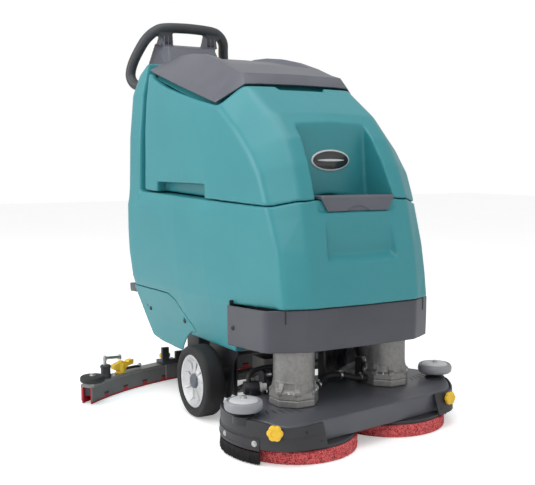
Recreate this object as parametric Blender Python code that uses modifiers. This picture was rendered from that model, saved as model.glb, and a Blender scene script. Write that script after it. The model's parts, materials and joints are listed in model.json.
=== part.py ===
"""Walk-behind floor scrubber with a twin-disc scrub deck, a curved squeegee and a tip-up recovery tank.

Metres, +Z up. The machine drives towards -Y, so its own right side is -X. The floor is z = 0.
Run with: blender --background --python part.py
"""

import math

import bmesh
import bpy
from mathutils import Matrix, Vector

# ---------------------------------------------------------------- driving dimensions
GAP = 0.0003                      # clearance between pieces that rest on or are cut by each other
MERGE = 0.00005                   # merge distance of every modifier and weld
WALL = 0.005                      # moulded wall thickness

PAD_RADIUS = 0.1525               # 12 inch scrub pads
PAD_THICK = 0.031
DISC_PITCH = 0.3139               # distance between the two disc axes
DECK_CENTRE = Vector((0.0, -0.36, 0.0))
DECK_SKEW = math.radians(8.5)     # the right-hand disc runs ahead of the left-hand one
DECK_TOP = 0.090
DECK_BOTTOM = 0.042
DECK_RIM = 0.170                  # rim radius around each disc axis
DECK_FRONT = 0.126                # straight front edge, ahead of the line through the disc axes
DECK_REAR = 0.152
BRISTLE_TOP = 0.0290
DECK_CROWN = 0.012                # how far the top rises under the motors

WHEEL_RADIUS = 0.096
WHEEL_WIDTH = 0.058
WHEEL_OUTER_X = 0.274
AXLE_Y = -0.056
RIM_RADIUS = 0.066

CASTER_X = 0.12
CASTER_Y = 0.17
CASTER_RADIUS = 0.0375
CASTER_TRAIL = 0.020

BODY_REAR = 0.482
TANK_REAR = 0.3605                # rear wall of the recovery tank
COLUMN_FRONT = 0.3653
SEAM_GAP = 0.0020
FACE_HALF = 0.154                 # half width of the flat front face, where its chamfer starts

LIFT_LOW = (-0.09, 0.065)         # lower deck-lift pivot on the chassis (y, z)
LIFT_DECK = (-0.245, 0.140)       # lower deck-lift pivot on the deck
LINK_RISE = 0.050                 # the upper link is the same link, this much higher

SQUEEGEE_RADIUS = 0.743           # arc of the front blade
SQUEEGEE_BACK = 0.360             # y of the arc at the centre line
SQUEEGEE_HALF = 0.466
SQUEEGEE_STEPS = 6                # straight stretches in each half of the arc
BLADE_PITCH = 0.022               # the rear blade follows this far behind the front one
CHANNEL_LOW, CHANNEL_TOP = 0.007, 0.054
KNOB_X = 0.173                    # the two hand knobs that hold the squeegee to its mount
TIP_ROLLER = (0.463, 0.182)       # (x, y) of the wall roller at each end
TIP_ROLLER_Z = 0.0665
LIFT_ARM = (0.130, 0.155)         # squeegee lift pivot (y, z)
SWING_Y = 0.262                   # squeegee swing pivot
MOUNT_Y = 0.322                   # upright wall of the squeegee mount
LATCH = (-0.341, 0.290)
PEDAL_PIVOT = (0.362, 0.172)

HINGE_X = 0.2465                  # recovery tank hinge, along the left side
HINGE_Z = 0.586
KNUCKLE_LENGTH = 0.030
SOLUTION_KNUCKLES = (-0.130, 0.200)
RECOVERY_KNUCKLES = (-0.165, 0.165)

# Front line of the body (z, y), seen from the side, from the floor of the tank to the lid.
FRONT_LINE = [(0.20, -0.470), (0.337, -0.470), (0.438, -0.460), (0.583, -0.423), (0.62, -0.408),
              (0.668, -0.385), (0.73, -0.345), (0.779, -0.302), (0.835, -0.228), (0.874, -0.156), (0.92, -0.03)]
# Where the front chamfer meets the side (z, y) and (z, half width).
CORNER_LINE = [(0.20, -0.435), (0.34, -0.433), (0.47, -0.4055), (0.585, -0.360), (0.66, -0.326),
               (0.735, -0.250), (0.80, -0.160), (0.827, -0.116), (0.92, 0.05)]
CORNER_HALF = [(0.20, 0.215), (0.47, 0.216), (0.585, 0.222), (0.66, 0.2235), (0.827, 0.231), (0.92, 0.226)]
# Half width of the side at its widest (z, x), and its rear line (z, y).
SIDE_HALF = [(0.20, 0.226), (0.26, 0.2375), (0.322, 0.2475), (0.40, 0.2495), (0.545, 0.2495), (0.583, 0.240),
             (0.66, 0.2400), (0.78, 0.2385), (0.88, 0.232), (0.945, 0.222), (0.99, 0.205)]
REAR_LINE = [(0.20, 0.376), (0.26, 0.420), (0.322, 0.452), (0.40, 0.474), (0.47, BODY_REAR), (0.90, BODY_REAR)]
# Height of the seam between the two tanks, by station along the half outline.
SEAM_FRONT, SEAM_FACE_EDGE, SEAM_CORNER, SEAM_REAR = 0.599, 0.584, 0.572, 0.593
# Height of the recovery tank's rim: front, front face edge, corner, rear.
RIM_FRONT, RIM_FACE_EDGE, RIM_CORNER, RIM_REAR = 0.870, 0.868, 0.821, 0.936

LID_PIVOT = (0.0, 0.338, 0.988)
SHIFT_Y = -0.04907                # from the modelling frame to the middle of the machine

CONSOLE_HALF = 0.120
PANEL_FRONT = (0.505, 1.045)      # (y, z) of the console's front top, rear top and rear bottom edges
PANEL_HIGH = (0.560, 1.058)
PANEL_LOW = (0.612, 0.955)
POST_INNER, POST_OUTER, POST_TOP = 0.060, 0.095, 1.0930
HANDLE_RADIUS = 0.0165
STOP_SPOT, STOP_STEM = (0.070, 0.010), 0.0095
VACUUM_SPOT, VACUUM_STEM = (-0.038, 0.010), 0.0075

MACHINE = bpy.data.collections.new("floor_scrubber")
CUTTERS = bpy.data.collections.new("cutters")


# ---------------------------------------------------------------- scene and materials
def clear_scene():
    for old in list(bpy.data.objects):
        bpy.data.objects.remove(old, do_unlink=True)
    bpy.context.scene.collection.children.link(MACHINE)
    bpy.context.scene.collection.children.link(CUTTERS)


def material(name, colour, roughness, metallic=0.0):
    made = bpy.data.materials.new(name)
    made.use_nodes = True
    shader = made.node_tree.nodes["Principled BSDF"]
    shader.inputs["Base Color"].default_value = (*colour, 1.0)
    shader.inputs["Roughness"].default_value = roughness
    shader.inputs["Metallic"].default_value = metallic
    return made


TEAL = material("teal_plastic", (0.060, 0.310, 0.330), 0.35)
GREY = material("grey_plastic", (0.135, 0.140, 0.155), 0.45)
DARK = material("dark_plastic", (0.030, 0.032, 0.036), 0.50)
YELLOW = material("yellow_plastic", (0.850, 0.560, 0.030), 0.35)
RED = material("red_pad", (0.620, 0.060, 0.060), 0.90)
BLADE_RED = material("red_rubber", (0.560, 0.020, 0.030), 0.55)
BLACK = material("black_paint", (0.018, 0.019, 0.022), 0.45)
TYRE = material("tyre_rubber", (0.020, 0.020, 0.021), 0.75)
CAST = material("cast_aluminium", (0.520, 0.520, 0.510), 0.50, 0.9)
STEEL = material("steel", (0.600, 0.600, 0.600), 0.30, 1.0)
ROLLER = material("roller_plastic", (0.360, 0.370, 0.390), 0.45)
BRISTLE = material("bristle", (0.015, 0.015, 0.016), 0.90)
BUTTON_RED = material("button_red", (0.700, 0.020, 0.020), 0.35)


# ---------------------------------------------------------------- small helpers
def add(name, mesh, paint, cutter=False):
    made = bpy.data.objects.new(name, mesh)
    (CUTTERS if cutter else MACHINE).objects.link(made)
    if cutter:
        made.hide_render = True
        made.display_type = "WIRE"
    elif paint:
        mesh.materials.append(paint)
    return made


def from_bmesh(name, work, paint, cutter=False):
    bmesh.ops.recalc_face_normals(work, faces=work.faces)
    mesh = bpy.data.meshes.new(name)
    work.to_mesh(mesh)
    work.free()
    return add(name, mesh, paint, cutter)


def box(name, low, high, paint=None, cutter=False, bevel=0.0):
    low, high = Vector(low), Vector(high)
    size = high - low
    work = bmesh.new()
    bmesh.ops.create_cube(work, size=1.0)
    bmesh.ops.scale(work, vec=size, verts=work.verts)
    bmesh.ops.translate(work, vec=(low + high) / 2, verts=work.verts)
    made = from_bmesh(name, work, paint, cutter)
    if bevel:
        round_edges(made, bevel)
    return made


def round_edges(made, width, segments=1, angle=40):
    mod = made.modifiers.new("edges", "BEVEL")
    mod.width = width
    mod.segments = segments
    mod.limit_method = "ANGLE"
    mod.angle_limit = math.radians(angle)


def cylinder(name, start, end, radius, paint=None, cutter=False, sides=20, end_radius=None):
    start, end = Vector(start), Vector(end)
    work = bmesh.new()
    bmesh.ops.create_cone(work, cap_ends=True, segments=sides, radius1=radius,
                          radius2=radius if end_radius is None else end_radius, depth=(end - start).length)
    turn = (end - start).to_track_quat("Z", "Y").to_matrix().to_4x4()
    bmesh.ops.transform(work, matrix=Matrix.Translation((start + end) / 2) @ turn, verts=work.verts)
    made = from_bmesh(name, work, paint, cutter)
    smooth(made)
    return made


def smooth(made, angle=35):
    made.data.shade_smooth()
    made.data.set_sharp_from_angle(angle=math.radians(angle))


def turned(name, profile, centre, paint, steps=24, axis=(0, 0, 1), closed=False):
    """A profile of (radius, height) that runs down the outer side, turned about an axis through centre."""
    mesh = bpy.data.meshes.new(name)
    count = len(profile)
    edges = [(i, i + 1) for i in range(count - 1)]
    if closed:
        edges.append((count - 1, 0))
    mesh.from_pydata([(r, 0.0, z) for r, z in profile], edges, [])
    made = add(name, mesh, paint)
    made.location = centre
    made.rotation_euler = Vector(axis).to_track_quat("Z", "Y").to_euler()
    mod = made.modifiers.new("turn", "SCREW")
    mod.steps = steps
    mod.render_steps = steps
    mod.use_merge_vertices = True
    mod.merge_threshold = MERGE
    mod.use_smooth_shade = True
    return made


def mesh_from_curve(made, paint, cutter=False):
    """Turns a curve object into a welded mesh object of the same name."""
    bpy.context.view_layer.update()
    seen = made.evaluated_get(bpy.context.evaluated_depsgraph_get())
    mesh = bpy.data.meshes.new_from_object(seen)
    name, place, line = made.name, made.matrix_world.copy(), made.data
    bpy.data.objects.remove(made)
    bpy.data.curves.remove(line)
    work = bmesh.new()
    work.from_mesh(mesh)
    bpy.data.meshes.remove(mesh)
    bmesh.ops.remove_doubles(work, verts=work.verts, dist=MERGE)
    solid = from_bmesh(name, work, paint, cutter)
    solid.name = name
    solid.matrix_world = place
    return solid


def plate(name, outlines, thick, centre, across, up, paint=None, cutter=False):
    """A flat outline, with holes as further outlines, in the plane of across and up through centre."""
    line = bpy.data.curves.new(name, "CURVE")
    line.dimensions = "2D"
    line.fill_mode = "BOTH"
    line.extrude = thick / 2
    for outline in outlines:
        spline = line.splines.new("POLY")
        spline.points.add(len(outline) - 1)
        for point, (u, v) in zip(spline.points, outline):
            point.co = (u, v, 0.0, 1.0)
        spline.use_cyclic_u = True
    made = bpy.data.objects.new(name, line)
    MACHINE.objects.link(made)
    across, up = Vector(across), Vector(up)
    frame = Matrix((across, up, across.cross(up))).transposed().to_4x4()
    made.matrix_world = Matrix.Translation(centre) @ frame
    return mesh_from_curve(made, paint, cutter)


def tube(name, points, radius, paint=None, cutter=False, ring=1, closed=False):
    """A round bar or hose through points; ring sets the roundness, 4 * (ring + 1) sides."""
    line = bpy.data.curves.new(name, "CURVE")
    line.dimensions = "3D"
    line.bevel_depth = radius
    line.bevel_resolution = ring
    line.use_fill_caps = True
    spline = line.splines.new("POLY")
    spline.points.add(len(points) - 1)
    for point, place in zip(spline.points, points):
        point.co = (*place, 1.0)
    spline.use_cyclic_u = closed
    made = bpy.data.objects.new(name, line)
    MACHINE.objects.link(made)
    solid = mesh_from_curve(made, paint, cutter)
    smooth(solid)
    return solid


def combine(base, *others, kind="UNION"):
    """Adds a Boolean modifier for each of the others, which become guides of the base."""
    for other in others:
        for home in list(other.users_collection):
            home.objects.unlink(other)
        CUTTERS.objects.link(other)
        other.hide_render = True
        other.display_type = "WIRE"
        mod = base.modifiers.new(kind.lower(), "BOOLEAN")
        mod.operation = kind
        mod.solver = "EXACT"
        mod.object = other
    return base


def cut(base, *others):
    return combine(base, *others, kind="DIFFERENCE")


def set_pivot(made, pivot):
    """Moves an object's origin onto its joint's axis without moving the object."""
    pivot = Vector(pivot)
    made.data.transform(Matrix.Translation(made.location - pivot))
    made.location = pivot


def group(name, pivot, pieces, parent=None):
    """Parents pieces to an empty on their joint's axis."""
    bpy.context.view_layer.update()
    empty = bpy.data.objects.new(name, None)
    MACHINE.objects.link(empty)
    empty.location = pivot
    empty.empty_display_size = 0.03
    if parent:
        empty.parent = parent
        empty.location = Vector(pivot) - parent.matrix_world.translation
    bpy.context.view_layer.update()
    for piece in pieces:
        piece.parent = empty
        piece.matrix_parent_inverse = empty.matrix_world.inverted()
    return empty


def loft(name, rings, paint=None, cutter=False, tip=None, base=None):
    """A skin over rings of equal point count; each end closes on a centre point."""
    work = bmesh.new()
    rows = [[work.verts.new(p) for p in ring] for ring in rings]
    count = len(rings[0])
    for low, high in zip(rows, rows[1:]):
        for i in range(count):
            j = (i + 1) % count
            work.faces.new((low[i], low[j], high[j], high[i]))
    for row, centre in ((rows[0], base), (rows[-1], tip)):
        middle = sum((v.co for v in row), Vector()) / count
        hub = work.verts.new(Vector(centre) if centre else middle)
        for i in range(count):
            work.faces.new((row[i], row[(i + 1) % count], hub))
    return from_bmesh(name, work, paint, cutter)


def at(line, value):
    """Reads a driving line, given as pairs, at a value by straight interpolation."""
    if value <= line[0][0]:
        return line[0][1]
    for (a, ya), (b, yb) in zip(line, line[1:]):
        if value <= b:
            return ya + (yb - ya) * (value - a) / (b - a)
    return line[-1][1]


def arc(centre, radius, start, end, count):
    """Points on a circle from start to end, in degrees."""
    angles = [math.radians(start + (end - start) * i / (count - 1)) for i in range(count)]
    return [(centre[0] + radius * math.cos(a), centre[1] + radius * math.sin(a)) for a in angles]


def circle(centre, radius, count):
    return arc(centre, radius, 0, 360 - 360 / count, count)


def fillet(a, corner, b, radius, count=3):
    """Replaces the corner between a and b with an arc of the radius."""
    a, corner, b = Vector(a[:2]), Vector(corner[:2]), Vector(b[:2])
    back, on = (a - corner).normalized(), (b - corner).normalized()
    half = math.acos(max(-1.0, min(1.0, back.dot(on)))) / 2
    run = radius / math.tan(half)
    middle = corner + (back + on).normalized() * (radius / math.sin(half))
    first, last = corner + back * run - middle, corner + on * run - middle
    sweep = math.atan2(first.x * last.y - first.y * last.x, first.dot(last))
    turns = [sweep * i / (count - 1) for i in range(count)]
    return [middle + Matrix.Rotation(t, 2) @ first for t in turns]


def round_outline(points, radii, count=3):
    out = []
    for i, (point, radius) in enumerate(zip(points, radii)):
        if radius:
            out += fillet(points[i - 1], point, points[(i + 1) % len(points)], radius, count)
        else:
            out.append(Vector(point[:2]))
    return [tuple(p) for p in out]


# ---------------------------------------------------------------- body outline
SIDE_STEPS = 5


def half_outline(z, rear, inset=0.0):
    """The right-handed half of the body outline at height z, from the front centre to the rear centre."""
    front = at(FRONT_LINE, z) + inset
    corner = (at(CORNER_HALF, z) - inset, at(CORNER_LINE, z) + 0.6 * inset)
    side = at(SIDE_HALF, z) - inset
    back = rear - inset
    bulge = [(corner[0] + (side - corner[0]) * math.sin(math.pi / 2 * min(1.0, 1.6 * t)),
              corner[1] + (back - 0.05 - corner[1]) * t) for t in [i / SIDE_STEPS for i in range(1, SIDE_STEPS + 1)]]
    face = (FACE_HALF - 0.3 * inset, front + 0.008)
    points = [(0.0, front), face, corner, *bulge, (side - 0.004, back), (0.0, back)]
    radii = [0.0, 0.030, 0.026, *[0.0] * SIDE_STEPS, 0.034, 0.0]
    return round_outline(points, radii)


def station_heights(front, face_edge, corner, rear, count):
    """Heights along the half outline: 1 front point, 3 at the face edge, 3 at the corner, the rest rising to the rear."""
    along = [corner + (rear - corner) * i / (SIDE_STEPS + 0.6) for i in range(1, SIDE_STEPS + 1)]
    return [front] + [face_edge] * 3 + [corner] * 3 + along + [rear] * (count - 7 - SIDE_STEPS)


def mirrored(half):
    """Closes a half ring (x >= 0, front to rear) across the centre plane."""
    return half + [(-x, y, z) for x, y, z in reversed(half[1:-1])]


def body_ring(heights, rear, inset=0.0):
    """One ring of the body, where each station has its own height."""
    half = []
    for i, z in enumerate(heights):
        x, y = half_outline(z, rear(z), inset)[i]
        half.append((x, y, z))
    return mirrored(half)


def body_rear(z):
    return at(REAR_LINE, z)


def tank_rear(z):
    return TANK_REAR


OUTLINE_COUNT = len(half_outline(0.4, 0.4))
SEAM = station_heights(SEAM_FRONT, SEAM_FACE_EDGE, SEAM_CORNER, SEAM_REAR, OUTLINE_COUNT)
RIM = station_heights(RIM_FRONT, RIM_FACE_EDGE, RIM_CORNER, RIM_REAR, OUTLINE_COUNT)


def shifted(heights, by):
    return [z + by for z in heights]


# ---------------------------------------------------------------- body shells
def solution_tank():
    levels = [0.20, 0.26, 0.322, 0.40, 0.47, 0.545]
    rings = [body_ring([z] * OUTLINE_COUNT, body_rear) for z in levels]
    rings.append(body_ring(shifted(SEAM, -SEAM_GAP / 2), body_rear))
    tank = loft("solution_tank", rings, TEAL, tip=(0, 0.05, 0.585))
    combine(tank, rear_column())
    notch = [(-0.2127, 0.10), (-0.2127, 0.3225), (-0.60, 0.3465), (-0.60, 0.10)]
    under_front = plate("front_notch", [notch], 0.8, (0, 0, 0), (0, 1, 0), (0, 0, 1), cutter=True)
    lift_notch = box("lift_notch", (-0.055, -0.30, 0.10), (0.055, -0.135, 0.285), cutter=True)
    battery_well = box("battery_well", (-0.190, -0.105, 0.206), (0.190, 0.335, 0.80), cutter=True)
    water = box("water_cavity", (-0.190, -0.392, 0.352), (0.190, -0.135, 0.560), cutter=True)
    round_edges(water, 0.03)
    port = cylinder("fill_port", (0, -0.362, 0.50), (0, -0.362, 0.70), 0.030, cutter=True, sides=16)
    cut(tank, under_front, lift_notch, battery_well, water, port, front_recess(), *panel_recesses())
    cut(tank, cover_pocket(), hinge_notch())
    combine(tank, *tank_knuckles("solution", SOLUTION_KNUCKLES, 0.226, 0.560, HINGE_Z + 0.008))
    cut(tank, hinge_bore("solution_bore"))
    return tank


def rear_column():
    """The column behind the recovery tank that carries the console."""
    def ring(z, back, half):
        points = [(0.0, COLUMN_FRONT), (half, COLUMN_FRONT), (half - 0.002, back), (0.0, back)]
        outline = round_outline(points, [0.0, 0.006, 0.040, 0.0], 4)
        return mirrored([(x, y, z) for x, y in outline])
    levels = [(0.54, BODY_REAR, 0.2485), (0.60, BODY_REAR, 0.2435), (0.75, BODY_REAR, 0.2400),
              (0.88, BODY_REAR - 0.002, 0.229)]
    rings = [ring(*level) for level in levels]
    slope = [(x * 0.93, y, 0.972 - 0.42 * (y - COLUMN_FRONT)) for x, y, _ in ring(0.95, BODY_REAR - 0.012, 0.225)]
    return loft("rear_column", rings + [slope], cutter=True)


def front_recess():
    """The shallow recess with sloped sides in the front of the solution tank."""
    def ring(y, low, half_low, half_high):
        return [(-half_low, y, low), (half_low, y, low), (half_high, y, 0.70), (-half_high, y, 0.70)]
    return loft("front_recess", [ring(-0.52, 0.408, 0.122, 0.134), ring(-0.4605, 0.436, 0.108, 0.119),
                                 ring(-0.428, 0.458, 0.092, 0.102)], cutter=True)


def cover_pocket():
    """Opens the seam above the fill port for the fill cover, and the face below it for the cover's lip."""
    top = box("cover_pocket", (-0.1125, -0.50, 0.5855), (0.1125, -0.290, 0.70), cutter=True)
    combine(top, box("lip_pocket", (-0.1125, -0.51, 0.5570), (0.1125, -0.4165, 0.60), cutter=True))
    return top


def panel_outline(grow=0.0):
    """Side panel over the drive wheel, in (y, z), with its wheel arch."""
    arch = arc((AXLE_Y + 0.034, WHEEL_RADIUS + 0.0), 0.126, 24, 64, 5)
    points = [(-0.002 - grow, 0.2135), *reversed(arch), (0.230, 0.148 - grow), (0.302, 0.156 - grow),
              (0.355 + grow, 0.200), (0.392 + grow, 0.250), (0.421 + grow, 0.296 + grow),
              (0.160, 0.301 + grow), (0.120 - grow, 0.290 + grow)]
    return points


def panel_recesses():
    """Flat seats for the two side panels."""
    seats = []
    for side in (-1, 1):
        low, high = sorted((side * 0.2245, side * 0.30))
        seats.append(plate(f"panel_seat_{side}", [panel_outline(0.0015)], high - low,
                           ((low + high) / 2, 0, 0), (0, 1, 0), (0, 0, 1), cutter=True))
    return seats


def side_panel(name, side):
    """A moulded panel whose outer face leans out towards the top with the body side."""
    panel = plate(name, [panel_outline()], 0.020, (side * 0.2350, 0, 0), (0, 1, 0), (0, 0, 1), TEAL)
    inner, outer = 0.2251, lambda z: at(SIDE_HALF, z) - 0.0005
    for v in panel.data.vertices:
        place = panel.matrix_world @ v.co
        place.x = side * (inner if abs(place.x) < 0.2350 else max(outer(place.z), 0.2290))
        v.co = panel.matrix_world.inverted() @ place
    for y, z in ((0.335, 0.241), (0.070, 0.241)):
        cut(panel, cylinder(f"{name}_hole_{y}", (side * 0.20, y, z), (side * 0.27, y, z), 0.004, cutter=True,
                            sides=10))
    return panel


def front_skirt():
    """The grey skirt that hangs under the front of the body, around the brush motors."""
    def ring(z, front, inset):
        points = [(0.0, front), (0.158, front + 0.004), (0.2440 - inset, -0.398), (0.2485 - inset, -0.2140)]
        outline = round_outline(points, [0.0, 0.030, 0.030, 0.0], 4)
        return [(-x, y, z) for x, y in reversed(outline[1:])] + [(x, y, z) for x, y in outline]
    work = bmesh.new()
    rows = []
    for drop, front, inset in ((0.0, -0.4575, 0.001), (0.055, -0.457, 0.001), (0.101, -0.4545, 0.0025)):
        base = ring(0, front, inset)
        rows.append([work.verts.new((x, y, top_of_skirt(y) - drop)) for x, y, _ in base])
    for low, high in zip(rows, rows[1:]):
        for i in range(len(low) - 1):
            work.faces.new((low[i], low[i + 1], high[i + 1], high[i]))
    skirt = from_bmesh("front_skirt", work, GREY)
    if skirt.data.polygons[0].normal.y > 0:
        skirt.data.flip_normals()
    shell = skirt.modifiers.new("shell", "SOLIDIFY")
    shell.thickness = 0.004
    shell.offset = -1.0
    return skirt


def top_of_skirt(y):
    return 0.3225 - GAP + (0.3465 - 0.3225) * (-0.2127 - y) / (0.60 - 0.2127) - 0.001


def recovery_tank():
    spans = [0.0, 0.10, 0.30, 0.52, 0.74, 1.0]
    low = shifted(SEAM, SEAM_GAP / 2)
    rings = []
    for t in spans:
        rings.append(body_ring([a + (b - a) * t for a, b in zip(low, RIM)], tank_rear))
    rings.append(body_ring(RIM, tank_rear, 0.016))
    tank = loft("recovery_tank", rings, TEAL, base=(0, 0.05, 0.5872), tip=(0, 0.08, 0.90))
    hollow = [body_ring([0.625 + (b - 0.625) * t for b in RIM], tank_rear, 0.0165) for t in (0.0, 0.5, 1.0)]
    hollow.append([(x, y, z + 0.25) for x, y, z in hollow[-1]])
    cavity = loft("recovery_cavity", [[(x, max(y, -0.285), z) for x, y, z in ring] for ring in hollow], cutter=True)
    cut(tank, cavity, tank_recess(), grip_recess(), finger_slot(), *upper_hinge_notches())
    combine(tank, *tank_knuckles("recovery", RECOVERY_KNUCKLES, 0.2302, HINGE_Z - 0.008, 0.612))
    cut(tank, hinge_bore("recovery_bore"))
    return tank


def tank_recess():
    """The tall recess in the front of the recovery tank, with an upright floor."""
    def ring(y, half_low, half_high, top):
        return [(-half_low, y, 0.50), (half_low, y, 0.50), (half_high, y, top), (-half_high, y, top)]
    return loft("tank_recess", [ring(-0.50, 0.121, 0.108, 0.7800), ring(-0.300, 0.1190, 0.101, 0.7760)], cutter=True)


def grip_recess():
    """Hand grip along the lower edge of the right side, for tipping the tank."""
    return box("grip_recess", (-0.30, -0.070, 0.55), (-0.206, 0.240, 0.618), cutter=True)


def finger_slot():
    return box("finger_slot", (-0.073, -0.25, 0.860), (0.073, -0.120, 0.90), cutter=True)


def tank_knuckles(name, places, inner, low, high):
    """Hinge knuckles on the left side, centred at each y in places."""
    half = KNUCKLE_LENGTH / 2
    return [box(f"{name}_knuckle_{i}", (inner, y - half, low), (HINGE_X + 0.0085, y + half, high),
                cutter=True, bevel=0.003) for i, y in enumerate(places)]


def hinge_bore(name):
    return cylinder(name, (HINGE_X, -0.30, HINGE_Z), (HINGE_X, 0.33, HINGE_Z), 0.0033, cutter=True, sides=10)


def hinge_notch():
    """Room in the solution tank for the recovery tank's knuckles to turn, and for the pin."""
    return box("hinge_notch", (0.2290, -0.1833, 0.5690), (0.30, 0.1833, 0.70), cutter=True)


def upper_hinge_notches():
    """Room in the recovery tank for the solution tank's knuckles."""
    reach = KNUCKLE_LENGTH / 2 + 0.003
    return [box(f"upper_hinge_notch_{i}", (0.2245, y - reach, 0.50), (0.30, y + reach, 0.5985), cutter=True)
            for i, y in enumerate(SOLUTION_KNUCKLES)]


def tank_hinge_pin():
    return cylinder("tank_hinge_pin", (HINGE_X, -0.190, HINGE_Z), (HINGE_X, 0.222, HINGE_Z), 0.0028, STEEL, sides=10)


LID_STATIONS = [  # y of the ridge, ridge half width, ridge z, y and z and half width of the lower edge
    (-0.124, 0.153, 0.904, -0.113, 0.827, 0.225),
    (-0.085, 0.152, 0.914, -0.085, 0.8345, 0.2262),
    (-0.020, 0.148, 0.938, -0.020, 0.852, 0.2270),
    (0.060, 0.143, 0.962, 0.060, 0.8735, 0.2270),
    (0.140, 0.138, 0.979, 0.140, 0.895, 0.2265),
    (0.220, 0.134, 0.989, 0.220, 0.9180, 0.2255),
    (0.290, 0.131, 0.9915, 0.290, 0.937, 0.2230),
    (0.3385, 0.129, 0.989, 0.3385, 0.9500, 0.2150)]
TRAY_FRONT = -0.02


def tank_lid():
    """The ridged lid over the recovery tank, with a shallow tray in its top."""
    rows = []
    front_edge = [(0.225, -0.113, 0.827), (0.1590, -0.1495, 0.8745), (0.115, -0.1505, 0.8765),
                  (0.110, -0.1505, 0.8765), (0.0, -0.1510, 0.8775)]
    rows.append(front_edge)
    for ridge_y, ridge_x, ridge_z, low_y, low_z, low_x in LID_STATIONS:
        drop = 0.012 if ridge_y > TRAY_FRONT else 0.0
        edge = ridge_x - 0.016
        rows.append([(low_x, low_y, low_z), (ridge_x, ridge_y, ridge_z), (edge, ridge_y, ridge_z + 0.001),
                     (edge - 0.010, ridge_y, ridge_z + 0.001 - drop), (0.0, ridge_y, ridge_z + 0.003 - drop)])
    full = [[(-x, y, z) for x, y, z in row] + list(reversed(row[:-1])) for row in rows]
    work = bmesh.new()
    grid = [[work.verts.new(p) for p in row] for row in full]
    for low, high in zip(grid, grid[1:]):
        for i in range(len(low) - 1):
            work.faces.new((low[i], low[i + 1], high[i + 1], high[i]))
    lid = from_bmesh("tank_lid", work, GREY)
    if lid.data.polygons[-1].normal.z < 0:
        lid.data.flip_normals()
    shell = lid.modifiers.new("shell", "SOLIDIFY")
    shell.thickness = 0.0035
    shell.offset = -1.0
    set_pivot(lid, LID_PIVOT)
    return lid


def fill_cover():
    """The flap over the fill port, with a finger scoop in its front face."""
    outline = [(-0.328, 0.5880), (-0.328, 0.5945), (-0.424, 0.5965), (-0.428, 0.592), (-0.4245, 0.559),
               (-0.4190, 0.559), (-0.4205, 0.5880)]
    cover = plate("fill_cover", [outline], 0.212, (0, 0, 0), (0, 1, 0), (0, 0, 1), GREY)
    for v in cover.data.vertices:
        place = cover.matrix_world @ v.co
        if place.z < 0.57:
            place.x *= 0.82
        v.co = cover.matrix_world.inverted() @ place
    scoop = cylinder("cover_scoop", (0, -0.4300, 0.520), (0, -0.4215, 0.520), 0.052, cutter=True, sides=24)
    cut(cover, scoop)
    set_pivot_of_turned(cover, (0, -0.330, 0.591))
    return cover


def set_pivot_of_turned(made, pivot):
    """As set_pivot, for an object whose axes are turned: its mesh takes the turn first."""
    made.data.transform(made.matrix_world)
    made.matrix_world = Matrix()
    set_pivot(made, pivot)


# ---------------------------------------------------------------- console and handle
def console_housing():
    """The grey pod on the column's sloping top, with two posts up to the handle."""
    outline = [(0.440, 0.9450), PANEL_FRONT, PANEL_HIGH, PANEL_LOW, (0.592, 0.905), (0.4850, 0.888),
               (0.4850, 0.9240), (0.470, 0.9290)]
    pod = plate("console_housing", [outline], 2 * CONSOLE_HALF, (0, 0, 0), (0, 1, 0), (0, 0, 1), GREY)
    for side in (-1, 1):
        foot = ((0.055, 0.522), (0.105, 0.522), (0.105, 0.562), (0.055, 0.562))
        head = ((POST_INNER, 0.520), (POST_OUTER, 0.520), (POST_OUTER, 0.546), (POST_INNER, 0.546))
        post = loft(f"post_{side}", [[(side * x, y, 1.040) for x, y in foot],
                                     [(side * x, y, POST_TOP) for x, y in head]], cutter=True)
        combine(pod, post)
    for spot, radius in ((STOP_SPOT, STOP_STEM), (VACUUM_SPOT, VACUUM_STEM)):
        cut(pod, panel_bore(f"console_bore_{spot[0]}", spot, radius + 0.001))
    return pod


def panel_frame():
    """Origin, across and up of the sloping rear face of the console."""
    low, high = Vector((0, *PANEL_LOW)), Vector((0, *PANEL_HIGH))
    up = (high - low).normalized()
    return (low + high) / 2, Vector((-1, 0, 0)), up


def on_panel(across, up, lift):
    """A point on the control panel, lift above the console's face."""
    middle, side, rise = panel_frame()
    return middle + side * across + rise * up + side.cross(rise) * lift


def panel_bore(name, spot, radius):
    """Clearance for a push button's stem, through the panel and into the console."""
    return cylinder(name, on_panel(*spot, -0.012), on_panel(*spot, 0.010), radius, cutter=True, sides=20)


def control_panel():
    _, side, rise = panel_frame()
    outline = round_outline([(-0.108, -0.050), (0.108, -0.050), (0.100, 0.050), (-0.100, 0.050)], [0.010] * 4, 3)
    panel = plate("control_panel", [outline], 0.003, on_panel(0, 0, 0.0015 + GAP), side, rise, DARK)
    for spot, radius in ((STOP_SPOT, STOP_STEM), (VACUUM_SPOT, VACUUM_STEM)):
        cut(panel, panel_bore(f"panel_bore_{spot[0]}", spot, radius + 0.001))
    return panel


def button(name, across, up, profile, paint, steps=16):
    _, side, rise = panel_frame()
    return turned(name, profile, on_panel(across, up, 0.003 + 2 * GAP), paint, steps, side.cross(rise))


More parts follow.
